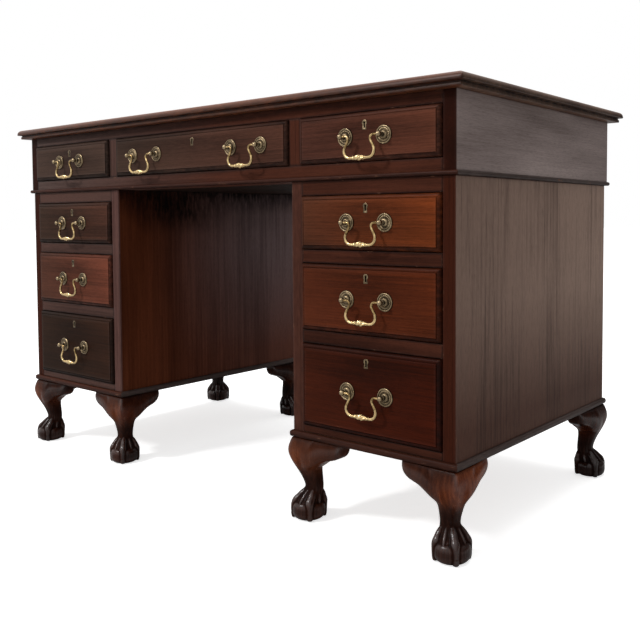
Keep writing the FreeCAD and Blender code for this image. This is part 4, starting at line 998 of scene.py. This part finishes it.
def aged_brass(name, tones, roughness):
    """Tarnished brass: cloudy patches between brown and gold, dark in the hollows, polished on crowns."""
    material, tree = new_finish(name)
    where = tree.nodes.new("ShaderNodeTexCoord").outputs["Object"]
    cloud = streaks(tree, where, (90, 90, 90), 4.0, 0.6)
    fleck = streaks(tree, where, (700, 700, 700), 2.0)
    colour = ramp(tree, cloud, *zip((0.34, 0.52, 0.72), tones))
    grime_and_shade = mark(tree, "grime_and_shade")
    colour = blend(tree, "MIX", times(tree, grime_and_shade, 0.85), colour, (*srgb(40, 31, 21), 1))
    colour = blend(tree, "MIX", times(tree, mark(tree, "wear"), 0.6), colour, (*tones[-1], 1))
    rough = plus(tree, times(tree, cloud, 0.3), roughness - 0.15)
    rough = plus(tree, rough, times(tree, grime_and_shade, 0.25))
    surface(tree, colour, rough, fleck, (0.15, 0.0003), Metallic=1.0)
    return material


brass = aged_brass("aged_brass", shades((38, 31, 23), (82, 69, 52), (162, 142, 111)), 0.32)
BRASS_GRAIN = ((0, 1, 2), 0)
# Radius, reach from the drawer's face, wear and grime along a rosette and its post, in millimetres
ROSETTE_PROFILE = np.array([
    (16, 0, 0, 0.8), (16, 1.0, 0, 0.2), (15.7, 1.8, 0.3, 0), (15.0, 2.5, 0.8, 0), (14.2, 2.7, 0.9, 0),
    (13.4, 2.4, 0.4, 0.2), (12.9, 1.7, 0, 0.9), (12.5, 1.6, 0, 0.9), (12.0, 2.0, 0.2, 0.3),
    (11.0, 2.3, 0.4, 0.1), (9.8, 2.3, 0.3, 0.1), (8.8, 1.9, 0.1, 0.5), (8.2, 1.7, 0, 0.9),
    (7.6, 1.9, 0.1, 0.6), (7.2, 3.0, 0.4, 0.1), (6.4, 4.2, 0.6, 0), (5.0, 4.9, 0.4, 0.2), (3.4, 5.0, 0, 0.9),
    (3.0, 5.6, 0, 0.7), (2.9, 7.4, 0, 0.5), (3.3, 8.3, 0.2, 0.2), (3.9, 8.9, 0.5, 0), (3.5, 9.6, 0.2, 0.3),
    (3.1, 10.2, 0, 0.6), (3.6, 11.2, 0.1, 0.2), (4.5, 12.6, 0.4, 0), (4.95, 14.2, 0.7, 0),
    (4.95, 15.6, 0.8, 0), (4.5, 17.2, 0.9, 0), (3.6, 18.5, 1, 0), (2.2, 19.5, 1, 0), (0.8, 19.9, 1, 0)])
ROSETTE_COLUMNS = 96
# Number of reeds, their height, and the middle and width of their band in millimetres of radius
REEDS, REED_HEIGHT, REED_RADIUS, REED_WIDTH = 24, 0.35 * MM, 10.6, 1.2
# Half width and thickness of a nut, its eased edge, and radius and reach of the bolt's end through it
NUT_HALF, NUT_THICKNESS, NUT_EASE = 4.5 * MM, 3.5 * MM, 0.7 * MM
BOLT_PROFILE = np.array([(2.0, 3.2), (2.0, 5.4), (1.6, 6.0), (0.5, 6.3)]) * MM


def turned(centre, radius, reach, angle):
    """A column of radii and reaches, in metres, turned about an axis from the centre straight back."""
    across, up = radius * np.cos(angle), radius * np.sin(angle)
    return np.stack([centre[0] + across, centre[1] + reach + 0 * angle, centre[2] + up], axis=-1)


def rosette(centre):
    """A profile of radius and reach turned about an axis square to the drawer, with shallow reeds round its
    hollow: the reach there rises and falls with the cosine of a multiple of the angle."""
    angle = round_turn(ROSETTE_COLUMNS)
    band = hill(ROSETTE_PROFILE[:, :1], REED_RADIUS, REED_WIDTH)
    reach = ROSETTE_PROFILE[:, 1:2] * MM + REED_HEIGHT * band * np.cos(REEDS * angle)
    points = turned(centre, ROSETTE_PROFILE[:, :1] * MM, -reach, angle)
    return patch(capped(points), BRASS_GRAIN, *(held(values)[:, None] for values in ROSETTE_PROFILE.T[2:]))


def bolt_end(centre):
    """The inner end of a handle's bolt: a square nut with eased corners, and a short round end through it."""
    corner = centre - np.array([NUT_HALF, 0, NUT_HALF])
    nut = eased_board(corner, corner + np.array([2 * NUT_HALF, NUT_THICKNESS, 2 * NUT_HALF]), NUT_EASE, 0)
    points = turned(centre, BOLT_PROFILE[:, :1], BOLT_PROFILE[:, 1:], round_turn(16))
    return [nut, patch(capped(points), BRASS_GRAIN)]


def handle_centres(name):
    """Middle of each handle on a drawer's face: one in the middle, or two on the wide centre drawer."""
    low, high = np.array(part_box(name + "_front"))
    middle = np.array([(low[0] + high[0]) / 2, low[1], (low[2] + high[2]) / 2])
    spread = CENTRE_SPREAD / 2 if name == "frieze_centre_drawer" else 0
    sides = (("left_", -1), ("right_", 1)) if spread else (("", 0),)
    return [(title, middle + np.array([sign * spread, 0, 0])) for title, sign in sides]


for name in DRAWERS:
    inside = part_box(name + "_front")[1][1]
    castings = []
    for title, middle in handle_centres(name):
        for sign in (-1, 1):
            post = middle + np.array([sign * HANDLE_SPAN / 2, 0, 0])
            castings.append(rosette(post))
            castings += bolt_end(np.array([post[0], inside, post[2]]))
    piece(name + "_rosettes_and_posts", castings, brass, name, "brass", name + "_fittings", crisp=50)

# Escutcheons and locks: a thin brass keyhole lining let flush into each front, and a brass-cased lock fixed
# behind it.

# Wall and depth behind the face in millimetres, wear and grime round the lining
LINING_ROWS = np.array([(0.05, 5.9, 0, 1), (0.05, 0.15, 0.1, 0.7), (0.35, -0.1, 0.3, 0), (2.6, -0.1, 0.2, 0),
                        (3.1, 0.2, 0.1, 0.2), (3.3, 0.9, 0, 0.9), (3.3, 5.9, 0, 1)])
LOCK_SIZE = np.array([48, 11, 30]) * MM
# Distance of the lock's lower edge below the front's upper one
LOCK_DROP = 34 * MM + KEYHOLE_HEIGHT / 2


def escutcheon(name):
    """A keyhole outline and the same outline thinned by its wall, joined front and back into a band."""
    low, high = np.array(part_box(name + "_front"))
    head = np.array([(low[0] + high[0]) / 2, high[2] - KEYHOLE_DROP - HEAD_RADIUS])
    angle = np.linspace(-np.pi, np.pi, FRONT_COLUMNS + 1)[:-1]
    rows = []
    for wall, depth in LINING_ROWS[:, :2] * MM:
        flat = head + compass(angle) * keyhole(angle, wall)[:, None]
        rows.append(np.stack([flat[:, 0], np.full(len(angle), low[1] + depth), flat[:, 1]], axis=-1))
    return patch(np.stack(rows), BRASS_GRAIN, LINING_ROWS[:, 2:3], LINING_ROWS[:, 3:], loop=True)


def lock(name):
    """The lock's case as a block with eased arrises, hung below the keyhole."""
    low, high = np.array(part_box(name + "_front"))
    corner = np.array([(low[0] + high[0] - LOCK_SIZE[0]) / 2, high[1], high[2] - LOCK_DROP])
    return eased_board(corner, corner + LOCK_SIZE, BACK_EASE, 0)


for name in DRAWERS:
    piece(name + "_escutcheon", [escutcheon(name)], brass, name, "brass", name + "_fittings", crisp=40)
    piece(name + "_lock", [lock(name)], brass, name, "brass", name + "_fittings")

# Bails: cast brass swan-neck handles whose ends turn in the posts. Each swells into a twisted grip in the
# middle, bright from use.

# Places along half a bail, in millimetres across and up from the middle of the line through its pins
PIN_OUTER, PIN_INNER = (39.6, 0), (30.2, 0)
CURL_CENTRE, CURL_RADIUS = (29.5, -6), 6
NECK_TOP, NECK_FOOT = (24.9, -10.1), (29.8, -18.5)
BEND_CENTRE, BEND_RADIUS = (19.91, -25.39), 12
GRIP_OUTER, GRIP_INNER = (19.2, -37.39), (0.5, -37.39)
# Where the thin pin starts and its radius, then radii of the tube at heights below the pins
PIN_FROM, PIN_RADIUS = 35.7, 1.55
TUBE_HEIGHTS, TUBE_RADII = (-37, -30, -12, 0), (2.7, 2.75, 2.3, 2.25)
# The grip lies below this height; its half length, bulge and the bulge's roundness
GRIP_BELOW, GRIP_HALF, GRIP_BULGE, GRIP_ROUNDNESS = -33, 13.0, 2.2, 1.4
COLLAR_HEIGHT, COLLAR_PLACE, COLLAR_WIDTH = 0.9, 12.2, 0.9
# Flutes round the grip, their turn for each millimetre, depth, how fast they start, and the grime in them
FLUTES, FLUTE_TURN, FLUTE_DEPTH, FLUTE_START, FLUTE_GRIME = 4, 0.62, 0.12, 4, 0.8
# Below this height hands rub the bail, by this much
RUBBED_BELOW, BAIL_RUB = -20, 0.7


def bail_line():
    """The middle line of half a bail: a straight pin, a curl through a third of a turn, a straight neck, and
    a bend back through a third of a turn to the level grip; then mirrored, and faired by averaging
    neighbours."""
    half = np.concatenate([
        np.linspace(PIN_OUTER, PIN_INNER, 12),
        CURL_CENTRE + CURL_RADIUS * compass(np.radians(np.linspace(90, 210, 14))),
        np.linspace(NECK_TOP, NECK_FOOT, 7),
        BEND_CENTRE + BEND_RADIUS * compass(np.radians(np.linspace(30, -90, 18))),
        np.linspace(GRIP_OUTER, GRIP_INNER, 24)])
    line = np.concatenate([half, half[::-1] * np.array([-1, 1])])
    for _ in range(3):
        line[1:-1] = (line[:-2] + 2 * line[1:-1] + line[2:]) / 4
    return line


def bail(pivot):
    """A tube about the middle line: its radius swells from pin to bend, gathers at a collar, and in the grip
    bulges and is fluted by a cosine whose angle advances along the grip."""
    line = bail_line()
    run = np.gradient(line, axis=0)
    run /= np.linalg.norm(run, axis=-1, keepdims=True)
    side, level = line.T
    grip = np.clip(1 - np.abs(side) / GRIP_HALF, 0, 1) * (level < GRIP_BELOW)
    radius = np.where(np.abs(side) > PIN_FROM, PIN_RADIUS, np.interp(level, TUBE_HEIGHTS, TUBE_RADII))
    collar = COLLAR_HEIGHT * hill(np.abs(side), COLLAR_PLACE, COLLAR_WIDTH) * (level < GRIP_BELOW)
    radius = radius + collar + GRIP_BULGE * np.sin(np.pi / 2 * grip) ** GRIP_ROUNDNESS
    angle = round_turn(32)
    wave = np.cos(FLUTES * angle + FLUTE_TURN * side[:, None])
    fluted = np.minimum(grip * FLUTE_START, 1)[:, None]
    tube = radius[:, None] * (1 + FLUTE_DEPTH * fluted * wave)
    across = tube * np.cos(angle)
    points = np.stack([side[:, None] - run[:, 1:] * across, tube * np.sin(angle),
                       level[:, None] + run[:, :1] * across], axis=-1)
    worn = np.clip((level < RUBBED_BELOW) * BAIL_RUB + grip, 0, 1)[:, None]
    hollow = fluted * np.clip(-wave, 0, 1) * FLUTE_GRIME
    return patch(capped(points * MM) + pivot, BRASS_GRAIN, held(worn), held(hollow))


bright_brass = aged_brass("handled_brass", shades((88, 70, 44), (148, 123, 83), (222, 194, 143)), 0.24)
for name in DRAWERS:
    for title, middle in handle_centres(name):
        node = f"{name}_{title}bail"
        cast = bail(middle - np.array([0, POST_REACH, 0]))
        piece(node + "_cast", [cast], bright_brass, node, "brass", node, crisp=60)

# Studio: a plain pale floor, a white surround, and broad soft lamps, with the camera standing where the
# photographer's did.
FLOOR_HALF, FLOOR_LINES = 40.0, 9
# Distances from the desk between which the floor's own light grows to full, and what it is near the desk
LIFT_FROM, LIFT_TO, LIFT_NEAR = 1.5, 6.0, 0.70


def floor_finish():
    """Matt white, brightened for the camera alone so that it meets the surround without a line."""
    material, tree = new_finish("studio_floor")
    where = tree.nodes.new("ShaderNodeTexCoord").outputs["Object"]
    tone = ramp(tree, streaks(tree, where, (3, 3, 3), 2.0), (0.3, 0.86), (0.7, 0.9))
    matt = wire(tree, "ShaderNodeBsdfDiffuse", Color=tone)
    far = measure(tree, "LENGTH", _0=where)
    lift = wire(tree, "ShaderNodeMapRange", _0=far, _1=LIFT_FROM, _2=LIFT_TO, _3=LIFT_NEAR, _4=1.0)
    seen = times(tree, tree.nodes.new("ShaderNodeLightPath").outputs["Is Camera Ray"], lift)
    glow = wire(tree, "ShaderNodeEmission", Color=(1, 1, 1, 1), Strength=seen)
    wire(tree, "ShaderNodeOutputMaterial", Surface=wire(tree, "ShaderNodeAddShader", _0=matt, _1=glow))
    return material


lines = np.linspace(-FLOOR_HALF, FLOOR_HALF, FLOOR_LINES)
level_grid = np.stack(np.meshgrid(lines, lines, [0.0], indexing="ij"), axis=-1)[:, :, 0]
ground = patch(level_grid, BRASS_GRAIN, ring=False)
floor_mesh = bpy.data.meshes.new("studio_floor")
floor_mesh.from_pydata(ground["place"].tolist(), [], ground["quads"][:, ::-1].tolist())
floor_mesh.materials.append(floor_finish())
placed("studio_floor", floor_mesh)

AMBIENT = 0.42
# Direction of the room's bright end, as the brass mirrors it, and the room's light away from it and there
WINDOW = (-0.37, -0.56, 0.74)
ROOM_FROM, ROOM_TO, ROOM_DIM, ROOM_BRIGHT = -0.4, 0.9, 0.15, 1.5
world = bpy.data.worlds.new("studio_surround")
world.use_nodes = True
sky = world.node_tree
sky.nodes.clear()
rays = sky.nodes.new("ShaderNodeLightPath").outputs
plain = times(sky, rays["Is Camera Ray"], 1 - AMBIENT)
facing = measure(sky, "DOT_PRODUCT", _0=sky.nodes.new("ShaderNodeTexCoord").outputs["Generated"], _1=WINDOW)
room = wire(sky, "ShaderNodeMapRange", _0=facing, _1=ROOM_FROM, _2=ROOM_TO, _3=ROOM_DIM, _4=ROOM_BRIGHT)
mirrored = times(sky, rays["Is Glossy Ray"], maths(sky, "SUBTRACT", room, AMBIENT))
light = plus(sky, plus(sky, plain, mirrored), AMBIENT)
backdrop = wire(sky, "ShaderNodeBackground", Color=(1, 1, 1, 1), Strength=light)
wire(sky, "ShaderNodeOutputWorld", Surface=backdrop)
bpy.context.scene.world = world

# Name, place, target, width in metres and power in watts of each lamp
LAMPS = (("key", (-1.2, -2.9, 2.9), (0.1, 0, 0.4), 0.5, 66),
         ("overhead", (0.3, 0.2, 3.2), (0, 0, 0.7), 2.0, 50))
for name, place, target, width, watts in LAMPS:
    lamp = bpy.data.lights.new(name, "AREA")
    lamp.shape, lamp.size, lamp.energy = "SQUARE", width, watts
    stand = placed(name, lamp)
    aim = np.array(target) - np.array(place)
    flat = np.hypot(aim[0], aim[1])
    stand.location = place
    stand.rotation_euler = (float(np.arctan2(flat, -aim[2])), 0, float(np.arctan2(aim[0], -aim[1]) + np.pi))

CAMERA_PLACE = (1.2818, -1.4027, 0.5583)
CAMERA_YAW, CAMERA_PITCH, CAMERA_ROLL = np.radians((39.024, -2.704, 0.302))
lens = bpy.data.cameras.new("photographer")
lens.lens, lens.sensor_width = 45.555, 36.0
lens.shift_x, lens.shift_y = -0.0395, -0.0985
lens.clip_start, lens.clip_end = 0.05, 200
tripod = placed("photographer", lens)
tripod.location = CAMERA_PLACE
tripod.rotation_euler = (float(np.pi / 2 + CAMERA_PITCH), float(CAMERA_ROLL), float(CAMERA_YAW))
bpy.context.scene.camera = tripod
bpy.context.scene.view_settings.view_transform = "Standard"
